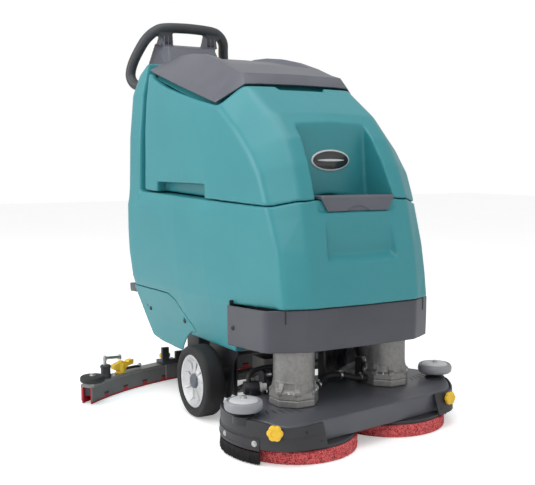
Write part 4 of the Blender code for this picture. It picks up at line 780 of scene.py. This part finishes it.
def louvres(deck):
    """Louvre slots fanned over the crown of the deck, between each roller and its motor: thin black slivers
    on the surface, painted shade for the dark inside of each slot.
    """
    half_long, half_wide, end_share, above = 0.015, 0.0026, 0.6, 0.2
    sunk, proud = Vector((0, 0, 0.0015)), Vector((0, 0, 0.0003))
    work = bmesh.new()
    for side, (x, y) in LOUVRE_SPOTS.items():
        for i in range(5):
            turn = math.radians(-side * (18 - 11 * i))
            along = Vector((math.sin(turn), math.cos(turn), 0)) * half_long
            wide = Vector((math.cos(turn), -math.sin(turn), 0)) * half_wide
            end = wide * end_share
            spot = Vector((x - side * 0.0165 * (i - 2), y - 0.0055 * (i - 2), 0))
            corners = [spot - along - end, spot - along + end, spot + wide, spot + along + end,
                       spot + along - end, spot - wide]
            tops = []
            for corner in corners:
                hit, at, _, _ = deck.ray_cast(corner + SHIFT + Vector((0, 0, above)), (0, 0, -1))
                if hit:
                    tops.append(at - SHIFT)
            if len(tops) == len(corners):
                add_rings(work, [[p - sunk for p in tops], [p + proud for p in tops]])
    # The slivers are painted shade, not cut slots.
    add_piece("deck_louvre_shade", work, "black_paint", "deck")


def add_ear(work, x, half, pivot_z):
    """An upright lift ear with a rounded top."""
    y, foot, radius = -0.245, 0.086, 0.0135
    outline = [(y + radius, foot), (y + radius, pivot_z)]
    for i in range(1, 12):
        a = math.pi * i / 12
        outline.append((y + radius * math.cos(a), pivot_z + radius * math.sin(a)))
    outline += [(y - radius, pivot_z), (y - radius, foot)]
    add_prism(work, outline, -half, half, (x, 0, 0), (0, 1, 0), UPRIGHT)


ROLLER_SPOTS = {-1: (-0.312, -0.42), 1: (0.303, -0.36)}
LOUVRE_SPOTS = {-1: (-0.22, -0.434), 1: (0.268, -0.335)}


def deck_roller(word, side):
    spot, body = (*ROLLER_SPOTS[side], DECK_TOP + 0.0145), f"deck_roller_{word}"
    tyre = [(0, 0.029), (0.035, 0.029), (0.0362, 0.0325), (0.0378, 0.0345), (0.04, 0.0342), (0.0425, 0.032),
            (0.0442, 0.028), (0.0446, 0.023), (0.0442, 0.018), (0.0425, 0.014), (0.0395, 0.0115),
            (0.035, 0.0105), (0, 0.0105)]
    turned_piece(f"roller_body_{word}", tyre, spot, UPRIGHT, 96, "roller_plastic", body, [body])
    disc = [(0, 0.0385), (0.012, 0.0382), (0.024, 0.037), (0.032, 0.035), (0.0342, 0.0325), (0.0342, 0.029),
            (0, 0.029)]
    turned_piece(f"roller_disc_{word}", disc, spot, UPRIGHT, 72, "roller_plastic", body, finish=PALE_GREY)
    work = bmesh.new()
    add_bolt(work, Vector(spot) + Vector((0, 0, 0.0383)), UPRIGHT, 0.0058, 0.005)
    add_piece(f"roller_bolt_{word}", work, "steel", body)
    work = bmesh.new()
    add_rod(work, (*spot[:2], 0.086), (*spot[:2], 0.1145), 0.01)
    foot = [(0, 0.1085), (0.02, 0.1075), (0.026, 0.104), (0.026, 0.087), (0, 0.087)]
    add_turned(work, foot, (*spot[:2], 0))
    add_piece(f"roller_foot_{word}", work, "dark_plastic", "deck")


def motor(word, side):
    """Cast gear motor: an eight-sided foot in two tiers, corner gussets and a plain can."""
    base = DECK_TOP + DECK_CROWN + 0.0003
    centre = disc_centre(side)
    turn = math.pi / 8
    work = bmesh.new()

    def octagon(radius, z):
        angles = [turn + math.pi * i / 4 for i in range(8)]
        return [centre + Vector((radius * math.cos(a), radius * math.sin(a), z)) for a in angles]
    foot = ((0.0575, 0), (0.06, 0.0015), (0.06, 0.0155), (0.0585, 0.0165), (0.0585, 0.0178), (0.06, 0.0188),
            (0.0595, 0.0325), (0.0575, 0.034))
    add_rings(work, [octagon(radius, base + height) for radius, height in foot])
    can_top, can_radius = 0.268, 0.05
    can = [(0, can_top), (can_radius - 0.001, can_top), (can_radius, can_top - 0.001), (can_radius, 0.1625),
           (0.0506, 0.1615), (0.0506, 0.158), (can_radius, 0.157), (0.0502, 0.144), (0.052, 0.1395),
           (0.056, 0.136), (0, 0.134)]
    add_turned(work, can, centre, steps=96)
    for i in range(8):
        a = turn + math.pi * i / 4
        across = Vector((math.cos(a), math.sin(a), 0))
        gusset = [(0.044, base + 0.03), (0.0598, base + 0.03), (0.0598, base + 0.038), (0.0535, base + 0.044),
                  (0.0505, base + 0.056), (0.044, base + 0.056)]
        add_prism(work, gusset, -0.0065, 0.0065, centre, across, UPRIGHT)
    moulded(f"motor_casting_{word}", work, 0.0009, 2, "cast_aluminium", "deck", [f"brush_motor_{word}"])
    bolts = bmesh.new()
    for i in range(4):
        a = turn * 2 + math.pi * i / 2
        spot = centre + Vector((0.0535 * math.cos(a), 0.0535 * math.sin(a), base + 0.0335))
        add_bolt(bolts, spot, UPRIGHT, 0.0034, 0.0045)
    add_piece(f"motor_bolts_{word}", bolts, "steel", "deck")


def add_band(work, low_pair, high_pair, low, high, side):
    """A curved wall between a lower and an upper pair of lines; high is a height, or gives it at each v."""
    rows = []
    for (outer, inner), height in ((low_pair, low), (high_pair, high)):
        outline = outer + list(reversed(inner))
        rows.append([on_deck(side * u, v, height(v) if callable(height) else height) for u, v in outline])
    add_rings(work, rows)


def skirt_front(z):
    """How far ahead of the middle the skirt's front lies at a height."""
    return DECK_FRONT + SKIRT_GAP + SKIRT_WALL + SKIRT_FLARE * (DECK_TOP - z) / (DECK_TOP - SKIRT_LOW)


def skirt(word, side):
    """The wrap-around skirt, its moulded lines, the brush holder below and their small fixings."""
    inner_r, outer_r = DECK_RIM + SKIRT_GAP, DECK_RIM + SKIRT_GAP + SKIRT_WALL
    tab = HALF_PITCH + (0.024 if side < 0 else 0.042)
    work = bmesh.new()

    def wrap_lines(z, proud):
        near, far = skirt_front(z) - SKIRT_WALL, skirt_front(z) + proud
        outer = [(tab, far)] + deck_arc(outer_r + proud, CORNER_START, SKIRT_END, 48, far)
        inner = [(tab, near)] + deck_arc(inner_r, CORNER_START, SKIRT_END, 48, near)
        return outer, inner

    def wrap(low, high, proud=0.0):
        top = high(0.0) if callable(high) else high
        top = min(top, DECK_TOP)
        add_band(work, wrap_lines(low, proud), wrap_lines(top, proud), low, high, side)
    wrap(SKIRT_LOW, lambda v: deck_height(v) - 0.0008)
    wrap(0.064, 0.066, 0.0008)
    start, end = 24, -51
    holder = (deck_arc(outer_r + 0.002, start, end, 36), deck_arc(inner_r + 0.001, start, end, 36))
    add_band(work, holder, holder, HOLDER_LOW, 0.06, side)
    lip = (deck_arc(outer_r + 0.003, start, end, 36), holder[1])
    add_band(work, lip, lip, 0.04, 0.0425, side)
    add_piece(f"skirt_wrap_{word}", work, "dark_plastic", "deck", [f"skirt_{word}"], angle=28)

    shiny = bmesh.new()
    for angle in (20.0, -14.0, -46.0):
        add_bolt(shiny, *on_skirt(side, angle, outer_r + 0.002, 0.05), 0.0052, 0.0028)
    add_piece(f"skirt_bolts_{word}", shiny, "steel", "deck")
    dark = bmesh.new()
    for u, z in ((tab + 0.052, 0.076), (tab + 0.014, 0.052)):
        round_end = math.sqrt(outer_r ** 2 - (u - HALF_PITCH) ** 2)
        ahead = soft_least(round_end, skirt_front(z), DECK_CORNER)
        add_dome(dark, on_deck(side * u, ahead, z), FORWARD, 0.003, 0.0014)
    add_piece(f"skirt_pins_{word}", dark, "black_paint", "deck")


def on_skirt(side, angle, radius, z):
    """A point on the round end of the deck and the direction straight out from it."""
    a = math.radians(angle)
    at = on_deck(side * (HALF_PITCH + radius * math.cos(a)), radius * math.sin(a), z)
    return at, ALONG * (side * math.cos(a)) + FORWARD * math.sin(a)


def bristles(word, side):
    """Rows of single bristles under the brush holder."""
    work = bmesh.new()
    rows, per_row = 4, 330
    first, sweep = 23.6, 75.0  # degrees from the end of the deck, and round to the last
    for row in range(rows):
        radius = DECK_RIM + 0.0008 + 0.0016 * row
        for i in range(per_row):
            angle = first - sweep * (i + RANDOM.uniform(-0.4, 0.4)) / per_row
            top, out = on_skirt(side, angle, radius, BRISTLE_TOP + 0.001)
            along = out.cross(Vector(UPRIGHT))
            lean = out * RANDOM.uniform(-0.0012, 0.0022) + along * RANDOM.uniform(-0.001, 0.001)
            line = Vector((top.x, top.y, RANDOM.uniform(0.0016, 0.0042))) + lean - top
            hair = [(0.00062, 0.0), (0.00048, line.length), (0, line.length + 0.0002)]
            add_turned(work, hair, top, line, 4)
    add_piece(f"bristles_{word}", work, "bristle", "deck", [f"splash_brush_{word}"])


def pad(word, side):
    """The fibrous pad, lumpy all round, and the driver plate above it."""
    centre = disc_centre(side)
    steps = 300
    edge = [(PAD_RADIUS - 0.0045, PAD_THICK), (PAD_RADIUS - 0.0015, PAD_THICK - 0.0008),
            (PAD_RADIUS, PAD_THICK - 0.0035)]
    edge += [(PAD_RADIUS, PAD_THICK - 0.0035 - 0.0024 * i) for i in range(1, 10)]
    edge += [(PAD_RADIUS, 0.004), (PAD_RADIUS - 0.0015, 0.0012), (PAD_RADIUS - 0.0045, 0.0004)]
    rings = [[centre + Vector((0, 0, PAD_THICK))], pad_ring(centre, 0.1, PAD_THICK, steps)]
    rings += [pad_ring(centre, r, z, steps) for r, z in edge]
    rings += [pad_ring(centre, r, 0.0004, steps) for r in (0.142, 0.125, 0.1, 0.07, 0.035)]
    rings.append([centre + Vector((0, 0, 0.0004))])
    work = bmesh.new()
    add_rings(work, rings)
    add_piece(f"pad_fibre_{word}", work, "red_pad", f"pad_{word}", [f"scrub_pad_{word}"], angle=80)
    plate = [(0, 0.026), (0.112, 0.026), (0.1145, 0.0245), (0.117, 0.011), (0.1185, 0.0098), (0.145, 0.0085),
             (0.1465, 0.007), (0.1465, 0.0005), (0.1455, 0), (0, 0)]
    turned_piece(f"driver_plate_{word}", plate, centre + Vector((0, 0, PAD_THICK + 0.0003)), UPRIGHT, 112,
                 "dark_plastic", f"pad_{word}", [f"pad_driver_{word}"])


def pad_ring(centre, radius, z, steps):
    """One ring of the pad, with the loops of the fibre standing in and out."""
    ring = []
    for i in range(steps):
        a = 2 * math.pi * i / steps
        flat = Vector((radius * math.cos(a), radius * math.sin(a), z))
        loops = noise.noise(flat * 190.0) * 0.0011 + noise.noise(flat * 420.0) * 0.0007
        out = Vector((math.cos(a), math.sin(a), 0)) * loops
        ring.append(centre + flat + out + Vector((0, 0, abs(loops) * 0.3)))
    return ring


KNOB_LOBES = 6


def add_star(work, foot, out, radius, lobes, thick):
    """A lobed hand knob with a rounded rim and a dished face, on a short neck."""
    out = Vector(out).normalized()
    across = out.cross(Vector(UPRIGHT) if abs(out.z) < 0.9 else Vector((1, 0, 0))).normalized()
    up = out.cross(across)
    foot = Vector(foot)
    neck, steps = 0.006, 18 * lobes
    rings = [[foot + out * neck]]
    for height, share in ((0.0, 0.8), (0.0004, 0.93), (0.0022, 1.0), (thick - 0.0035, 1.0),
                          (thick - 0.0012, 0.94), (thick, 0.84), (thick, 0.46), (thick - 0.0012, 0.42)):
        ring = []
        for i in range(steps):
            a = 2 * math.pi * i / steps
            lobe = 0.16 if share > 0.6 else 0.0
            r = radius * share * (1 - lobe + lobe * abs(math.cos(lobes * a / 2)) ** 0.7)
            ring.append(foot + out * (neck + height) + across * r * math.cos(a) + up * r * math.sin(a))
        rings.append(ring)
    rings.append([foot + out * (neck + thick - 0.0012)])
    add_rings(work, rings)
    add_rod(work, foot, foot + out * 0.0075, radius * 0.5, 32)


def deck_knobs():
    at, out = on_skirt(-1, 37, DECK_RIM + 0.0068, 0.083)
    for word, foot, facing, radius in (("right", at, out, 0.0185),
                                       ("left", on_deck(0.245, DECK_FRONT + 0.0068, 0.074), FORWARD, 0.017)):
        work = bmesh.new()
        add_star(work, foot, facing, radius, KNOB_LOBES, 0.011)
        add_piece(f"star_knob_{word}", work, "yellow_plastic", f"skirt_knob_{word}", [f"skirt_knob_{word}"],
                  angle=50)


def deck_plumbing():
    """The solenoid valve, its white fitting and the hoses and cables between the motors."""
    refined("solution_valve", 0.0008)
    work = bmesh.new()
    add_rod(work, (-0.197, -0.2719, 0.119), (-0.183, -0.2765, 0.119), 0.0125, 32)
    add_rod(work, (-0.183, -0.2765, 0.119), (-0.172, -0.2801, 0.119), 0.0095, 32)
    add_piece("valve_fitting", work, "roller_plastic", "deck", finish=WHITE)
    work = bmesh.new()
    hose = spline([(-0.214, -0.266, 0.128), (-0.212, -0.264, 0.148), (-0.19, -0.256, 0.158),
                   (-0.15, -0.25, 0.16), (-0.1, -0.25, 0.154), (-0.06, -0.262, 0.136), (-0.04, -0.284, 0.114),
                   (-0.038, -0.3, 0.1)])
    add_tube(work, hose, 0.006, 16)
    cable = spline([(0.1, -0.33, 0.118), (0.07, -0.318, 0.12), (0.03, -0.31, 0.13), (-0.01, -0.3, 0.128),
                    (-0.05, -0.33, 0.12), (-0.1, -0.372, 0.116)])
    add_tube(work, cable, 0.0085, 16)
    add_piece("deck_hoses", work, "tyre_rubber", "deck")
    work = bmesh.new()
    for x, y, z in ((0.03, -0.31, 0.13), (-0.05, -0.33, 0.12), (0.085, -0.322, 0.12)):
        add_collar(work, (x, y, z), (1, 0.1, 0), 0.0105, 0.0086, -0.003, 0.003, 32)
        add_bolt(work, (x, y, z + 0.0095), UPRIGHT, 0.003, 0.0035)
    add_piece("hose_clips", work, "steel", "deck")


# ---------------------------------------------------------------- squeegee
def arc_points(offset, share=1.0, steps=72):
    """Points (x, y) on the squeegee's arc, pushed back by offset; share trims both ends."""
    radius = SQUEEGEE_RADIUS + offset
    reach = math.asin(SQUEEGEE_HALF / SQUEEGEE_RADIUS) * share
    points = []
    for i in range(steps + 1):
        a = math.pi / 2 + reach * (1 - 2 * i / steps)
        points.append((radius * math.cos(a), SQUEEGEE_CENTRE_Y + radius * math.sin(a)))
    return points


def add_arc_band(work, near, far, low, high, share=1.0):
    add_prism(work, arc_points(near, share) + list(reversed(arc_points(far, share))), low, high)


def on_arc(x, offset):
    """The point of the arc at x, pushed back by offset, and the direction along the arc there."""
    a = math.asin(x / SQUEEGEE_RADIUS)
    radius = SQUEEGEE_RADIUS + offset
    at = Vector((radius * math.sin(a), SQUEEGEE_CENTRE_Y + radius * math.cos(a), 0))
    return at, Vector((math.cos(a), -math.sin(a), 0))


def squeegee():
    front, back = -0.0075, BLADE_PITCH + 0.0075
    work = bmesh.new()
    add_arc_band(work, front, -0.0048, CHANNEL_LOW, CHANNEL_TOP - 0.001)
    add_arc_band(work, BLADE_PITCH + 0.0048, back, CHANNEL_LOW, CHANNEL_TOP - 0.001)
    add_piece("channel_sides", work, "grey_plastic", "squeegee", ["squeegee_channel"], finish=CHANNEL_GREY)
    work = bmesh.new()
    add_arc_band(work, front - 0.0002, back + 0.0002, CHANNEL_TOP - 0.008, CHANNEL_TOP)
    for side in SIDES.values():
        x, y = side * TIP_X, TIP_Y
        arm = [(x - side * 0.013, y), (x, y - 0.013), (x + side * 0.009, y), (side * 0.456, 0.215),
               (side * 0.436, 0.24), (side * 0.42, 0.225)]
        add_prism(work, arm, CHANNEL_TOP - 0.0005, CHANNEL_TOP + 0.0095)
        add_rod(work, (x, y, CHANNEL_TOP + 0.005), (x, y, 0.0662), 0.007)
    add_rod(work, (0, 0.372, CHANNEL_TOP - 0.003), (0, 0.388, 0.108), 0.016, 40)
    add_piece("channel_cap", work, "cast_aluminium", "squeegee")
    squeegee_blades()
    squeegee_notches(front)
    refined("squeegee_mount", 0.001)
    for word, side in SIDES.items():
        tip_roller(word, side)
        work = bmesh.new()
        add_star(work, (side * 0.173, 0.35, CHANNEL_TOP + 0.0103), UPRIGHT, 0.0175, 4, 0.013)
        add_piece(f"clamp_knob_{word}", work, "yellow_plastic", f"mount_knob_{word}", [f"mount_knob_{word}"],
                  angle=50)
    latch_gear()


def squeegee_blades():
    top = CHANNEL_TOP - 0.0085
    for name, near, far in (("front_blade", -0.0046, -0.001),
                            ("rear_blade", BLADE_PITCH + 0.001, BLADE_PITCH + 0.0046)):
        work = bmesh.new()
        add_arc_band(work, near, far, 0.0005, top)
        add_piece(f"{name}_rubber", work, "red_rubber", "squeegee", [name])
    work = bmesh.new()
    add_arc_band(work, 0.0005, BLADE_PITCH - 0.0005, 0.022, top, 0.99)
    add_piece("blade_spacer", work, "dark_plastic", "squeegee")


def upright(half, low, high):
    """The corners of an upright rectangle, half being half its width."""
    return [(-half, low), (half, low), (half, high), (-half, high)]


def squeegee_notches(front):
    """Windows near the channel's lower edge that show the blade, each with a dark lip, and two straps."""
    red, dark, pale = bmesh.new(), bmesh.new(), bmesh.new()
    count = 12
    for i in range(count):
        x = (i + 0.5 - count / 2) * 0.0745
        at, along = on_arc(x, front)
        for work, half, low, high, proud in ((red, 0.0085, CHANNEL_LOW + 0.0003, 0.016, 0.0007),
                                             (dark, 0.0095, 0.0152, 0.0205, 0.0009)):
            add_prism(work, upright(half, low, high), -0.002, proud, at, along, UPRIGHT)
    for x in (-0.18, 0.18):
        at, along = on_arc(x, front)
        strap = upright(0.0014, CHANNEL_LOW + 0.001, CHANNEL_TOP + 0.0006)
        add_prism(pale, strap, -0.001, 0.0009, at, along, UPRIGHT)
    add_piece("channel_windows", red, "red_rubber", "squeegee")
    add_piece("window_lips", dark, "black_paint", "squeegee")
    add_piece("channel_straps", pale, "steel", "squeegee")


def tip_roller(word, side):
    spot, thick, body = Vector((side * TIP_X, TIP_Y, 0.0665)), 0.018, f"tip_roller_{word}"
    profile = [(0, thick), (0.028, thick), (0.031, 0.0172), (0.0335, 0.015), (0.0345, 0.012), (0.0345, 0.006),
               (0.0335, 0.003), (0.031, 0.0008), (0.028, 0), (0, 0)]
    turned_piece(f"tip_roller_body_{word}", profile, spot, UPRIGHT, 80, "tyre_rubber", body, [body])
    work = bmesh.new()
    add_bolt(work, spot + Vector((0, 0, thick)), UPRIGHT, 0.006, 0.007)
    add_piece(f"tip_roller_bolt_{word}", work, "steel", body)


def latch_gear():
    """The yellow cam latch, and the tension drum, link and rod it pulls on."""
    work = bmesh.new()
    foot, turn = Vector((-0.341, 0.29, CHANNEL_TOP + 0.0004)), math.radians(28)
    hub = [(0, 0.0365), (0.0085, 0.036), (0.009, 0.029), (0.0132, 0.028), (0.0138, 0.0), (0, 0.0)]
    add_turned(work, hub, foot, steps=40)
    wings = [(-0.032, 0.017), (-0.034, 0.03), (-0.012, 0.033), (0.014, 0.033), (0.026, 0.028), (0.03, 0.033),
             (0.05, 0.033), (0.05, 0.019), (0.026, 0.017), (0.014, 0.008), (-0.012, 0.008)]
    add_prism(work, wings, -0.0085, 0.0085, foot, (math.cos(turn), math.sin(turn), 0), UPRIGHT)
    moulded("latch_lever", work, 0.0009, 2, "yellow_plastic", "blade_latch", ["blade_latch"])
    work = bmesh.new()
    drum = [(0, 0.092), (0.012, 0.092), (0.0155, 0.089), (0.0155, 0.084), (0.014, 0.082), (0.014, 0.066),
            (0.0155, 0.064), (0.0155, CHANNEL_TOP), (0, CHANNEL_TOP)]
    add_turned(work, drum, (-0.398, 0.258, 0), steps=56)
    post_x, post_y = -0.268, 0.322
    rod = spline([(-0.322, 0.296, 0.064), (-0.295, 0.311, 0.062), (post_x, post_y, 0.06)])
    add_tube(work, rod, 0.0042, 14)
    add_piece("tension_drum", work, "black_paint", "squeegee")
    work = bmesh.new()
    link = [Vector((-0.401, 0.256, 0.112)), Vector((-0.344, 0.288, 0.103))]
    add_tube(work, link, 0.0046, 14)
    add_rod(work, (-0.401, 0.256, 0.09), link[0], 0.005)
    for point in link:
        add_rod(work, point - Vector((0, 0, 0.007)), point + Vector((0, 0, 0.0035)), 0.0058, 24)
        add_bolt(work, point + Vector((0, 0, 0.0035)), UPRIGHT, 0.004, 0.004)
    add_bolt(work, (post_x, post_y, 0.063), UPRIGHT, 0.0045, 0.006)
    add_rod(work, (post_x, post_y, CHANNEL_TOP - 0.001), (post_x, post_y, 0.064), 0.004)
    for x in (-0.376, -0.366):
        at, _ = on_arc(x, 0.004)
        add_bolt(work, at + Vector((0, 0, CHANNEL_TOP)), UPRIGHT, 0.0036, 0.008)
    add_piece("tension_link", work, "steel", "squeegee")


# ---------------------------------------------------------------- hoses
def add_ribbed(work, points, depth, pitch):
    """A corrugated hose along a smooth line through the points."""
    line = spline(points, 24)
    length = 0.0
    radii = [HOSE_RADIUS]
    for a, b in zip(line, line[1:]):
        length += (b - a).length
        radii.append(HOSE_RADIUS + depth * math.sin(2 * math.pi * length / pitch))
    add_tube(work, line, radii, 28)


def hoses():
    """The vacuum hose in two parts, the lower one on no body, and the looped drain hose."""
    cuff = HOSE_RADIUS + 0.0025
    points = [(-0.06, 0.508, 0.52), (-0.06, 0.511, 0.42), (-0.05, 0.512, 0.32), (-0.035, 0.508, 0.245)]
    work = bmesh.new()
    add_ribbed(work, points, 0.0011, 0.0072)
    add_collar(work, points[0], UPRIGHT, cuff, HOSE_RADIUS - 0.001, -0.008, 0.008)
    add_piece("vacuum_hose_upper", work, "dark_plastic", "machine", ["vacuum_hose"])
    points = [(-0.035, 0.508, 0.247), (-0.028, 0.498, 0.205), (-0.016, 0.46, 0.172), (-0.006, 0.42, 0.15),
              (0.0, 0.396, 0.128), (0.0, 0.387, 0.104)]
    work = bmesh.new()
    add_ribbed(work, points, 0.0011, 0.0072)
    lower = add_piece("vacuum_hose_lower", work, "dark_plastic", None)
    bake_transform(lower)
    points = [(0.14, 0.506, 0.3), (0.15, 0.5065, 0.42), (0.158, 0.5065, 0.56), (0.16, 0.5065, 0.7),
              (0.15, 0.5065, 0.78), (0.128, 0.5075, 0.838), (0.09, 0.508, 0.856), (0.052, 0.508, 0.838),
              (0.034, 0.508, 0.79), (0.03, 0.508, 0.72)]
    work = bmesh.new()
    add_ribbed(work, points, 0.0009, 0.008)
    plug = [(0, -0.012), (0.02, -0.012), (0.0215, -0.009), (0.0215, 0.016), (0.02, 0.018), (0, 0.018)]
    add_turned(work, plug, points[-1], UPRIGHT, 36)
    add_piece("drain_hose_line", work, "dark_plastic", "machine", ["drain_hose"])
    clips = bmesh.new()
    for x, z in ((0.153, 0.48), (0.16, 0.64)):
        add_collar(clips, (x, 0.5065, z), UPRIGHT, cuff, HOSE_RADIUS + 0.0005, -0.006, 0.006)
    add_piece("hose_straps", clips, "black_paint", "machine")


def remaining_nodes():
    """Every other CAD node, with its edges rounded."""
    for node, made in frame["nodes"].items():
        if not made.hide_render:
            refined(node)


# ---------------------------------------------------------------- floor, light and camera
SKY_LIGHT = 0.64  # sky light on the object; the camera sees the sky white
FLOOR_GLOW = 0.34  # lifts the floor to the sky's white, for the camera only
CAMERA_LENS, CAMERA_PLACE = 58.8, Vector((-1.2372, -2.1258, 0.6772))
CAMERA_DOWN, CAMERA_TURN = 0.0937, 0.5267  # in radians


def for_the_camera(tree, socket, unseen, seen):
    """Gives a socket one value for the camera's own rays and another for all other light."""
    switch = tree.nodes.new("ShaderNodeMapRange")
    switch.inputs["To Min"].default_value = unseen
    switch.inputs["To Max"].default_value = seen
    rays = tree.nodes.new("ShaderNodeLightPath")
    tree.links.new(rays.outputs["Is Camera Ray"], switch.inputs["Value"])
    tree.links.new(switch.outputs["Result"], socket)


def floor():
    mesh = bpy.data.meshes.new("floor")
    mesh.from_pydata([(-12, -12, 0), (12, -12, 0), (12, 12, 0), (-12, 12, 0)], [], [(0, 1, 2, 3)])
    made = linked("floor", mesh)
    pale = look("pale_floor", (0.93, 0.93, 0.93), (0.95, 0.95, 0.95), 0.8, scale=1.0, bump=0.02, edge=0.0)
    shader = pale.node_tree.nodes["Principled BSDF"]
    shader.inputs["Emission Color"].default_value = (1.0, 1.0, 1.0, 1.0)
    for_the_camera(pale.node_tree, shader.inputs["Emission Strength"], 0.0, FLOOR_GLOW)
    mesh.materials.append(pale)


def softbox(name, place, target, size, power):
    light = bpy.data.lights.new(name, "AREA")
    light.shape = "RECTANGLE"
    light.size, light.size_y = size
    light.energy = power
    made = linked(name, light)
    made.location = place
    made.rotation_euler = (Vector(target) - Vector(place)).to_track_quat("-Z", "Y").to_euler()


def studio():
    softbox("top_light", (-0.5, -0.4, 3.2), (0, 0, 0.5), (2.6, 2.6), 46.0)
    softbox("side_light", (-3.2, 0.9, 1.7), (0, 0, 0.55), (2.0, 2.2), 48.0)
    softbox("corner_light", (-2.4, -2.8, 2.6), (0, -0.2, 0.7), (1.6, 1.6), 20.0)
    softbox("front_fill", (1.6, -3.4, 1.2), (0, 0, 0.5), (2.2, 2.0), 4.0)
    world = bpy.data.worlds.new("studio_sky")
    bpy.context.scene.world = world
    world.use_nodes = True
    sky = world.node_tree.nodes["Background"]
    sky.inputs["Color"].default_value = (1.0, 1.0, 1.0, 1.0)
    for_the_camera(world.node_tree, sky.inputs["Strength"], SKY_LIGHT, 1.0)
    bpy.context.scene.view_settings.view_transform = "Standard"


def camera():
    lens = bpy.data.cameras.new("photo_view")
    lens.lens = CAMERA_LENS
    lens.shift_x, lens.shift_y = -0.0029, 0.0018
    lens.clip_start, lens.clip_end = 0.05, 60.0
    made = linked("photo_view", lens)
    made.location = CAMERA_PLACE + SHIFT
    made.rotation_euler = (math.pi / 2 - CAMERA_DOWN, 0.0, -CAMERA_TURN)
    bpy.context.scene.camera = made


def build():
    body_shells()
    body_screws()
    badge()
    handle()
    console()
    for word, side in SIDES.items():
        drive_wheel(word, side)
        caster(word, side)
        deck_roller(word, side)
        motor(word, side)
        skirt(word, side)
        bristles(word, side)
        pad(word, side)
    deck_housing()
    deck_knobs()
    deck_plumbing()
    squeegee()
    hoses()
    remaining_nodes()
    floor()
    studio()
    camera()


build()
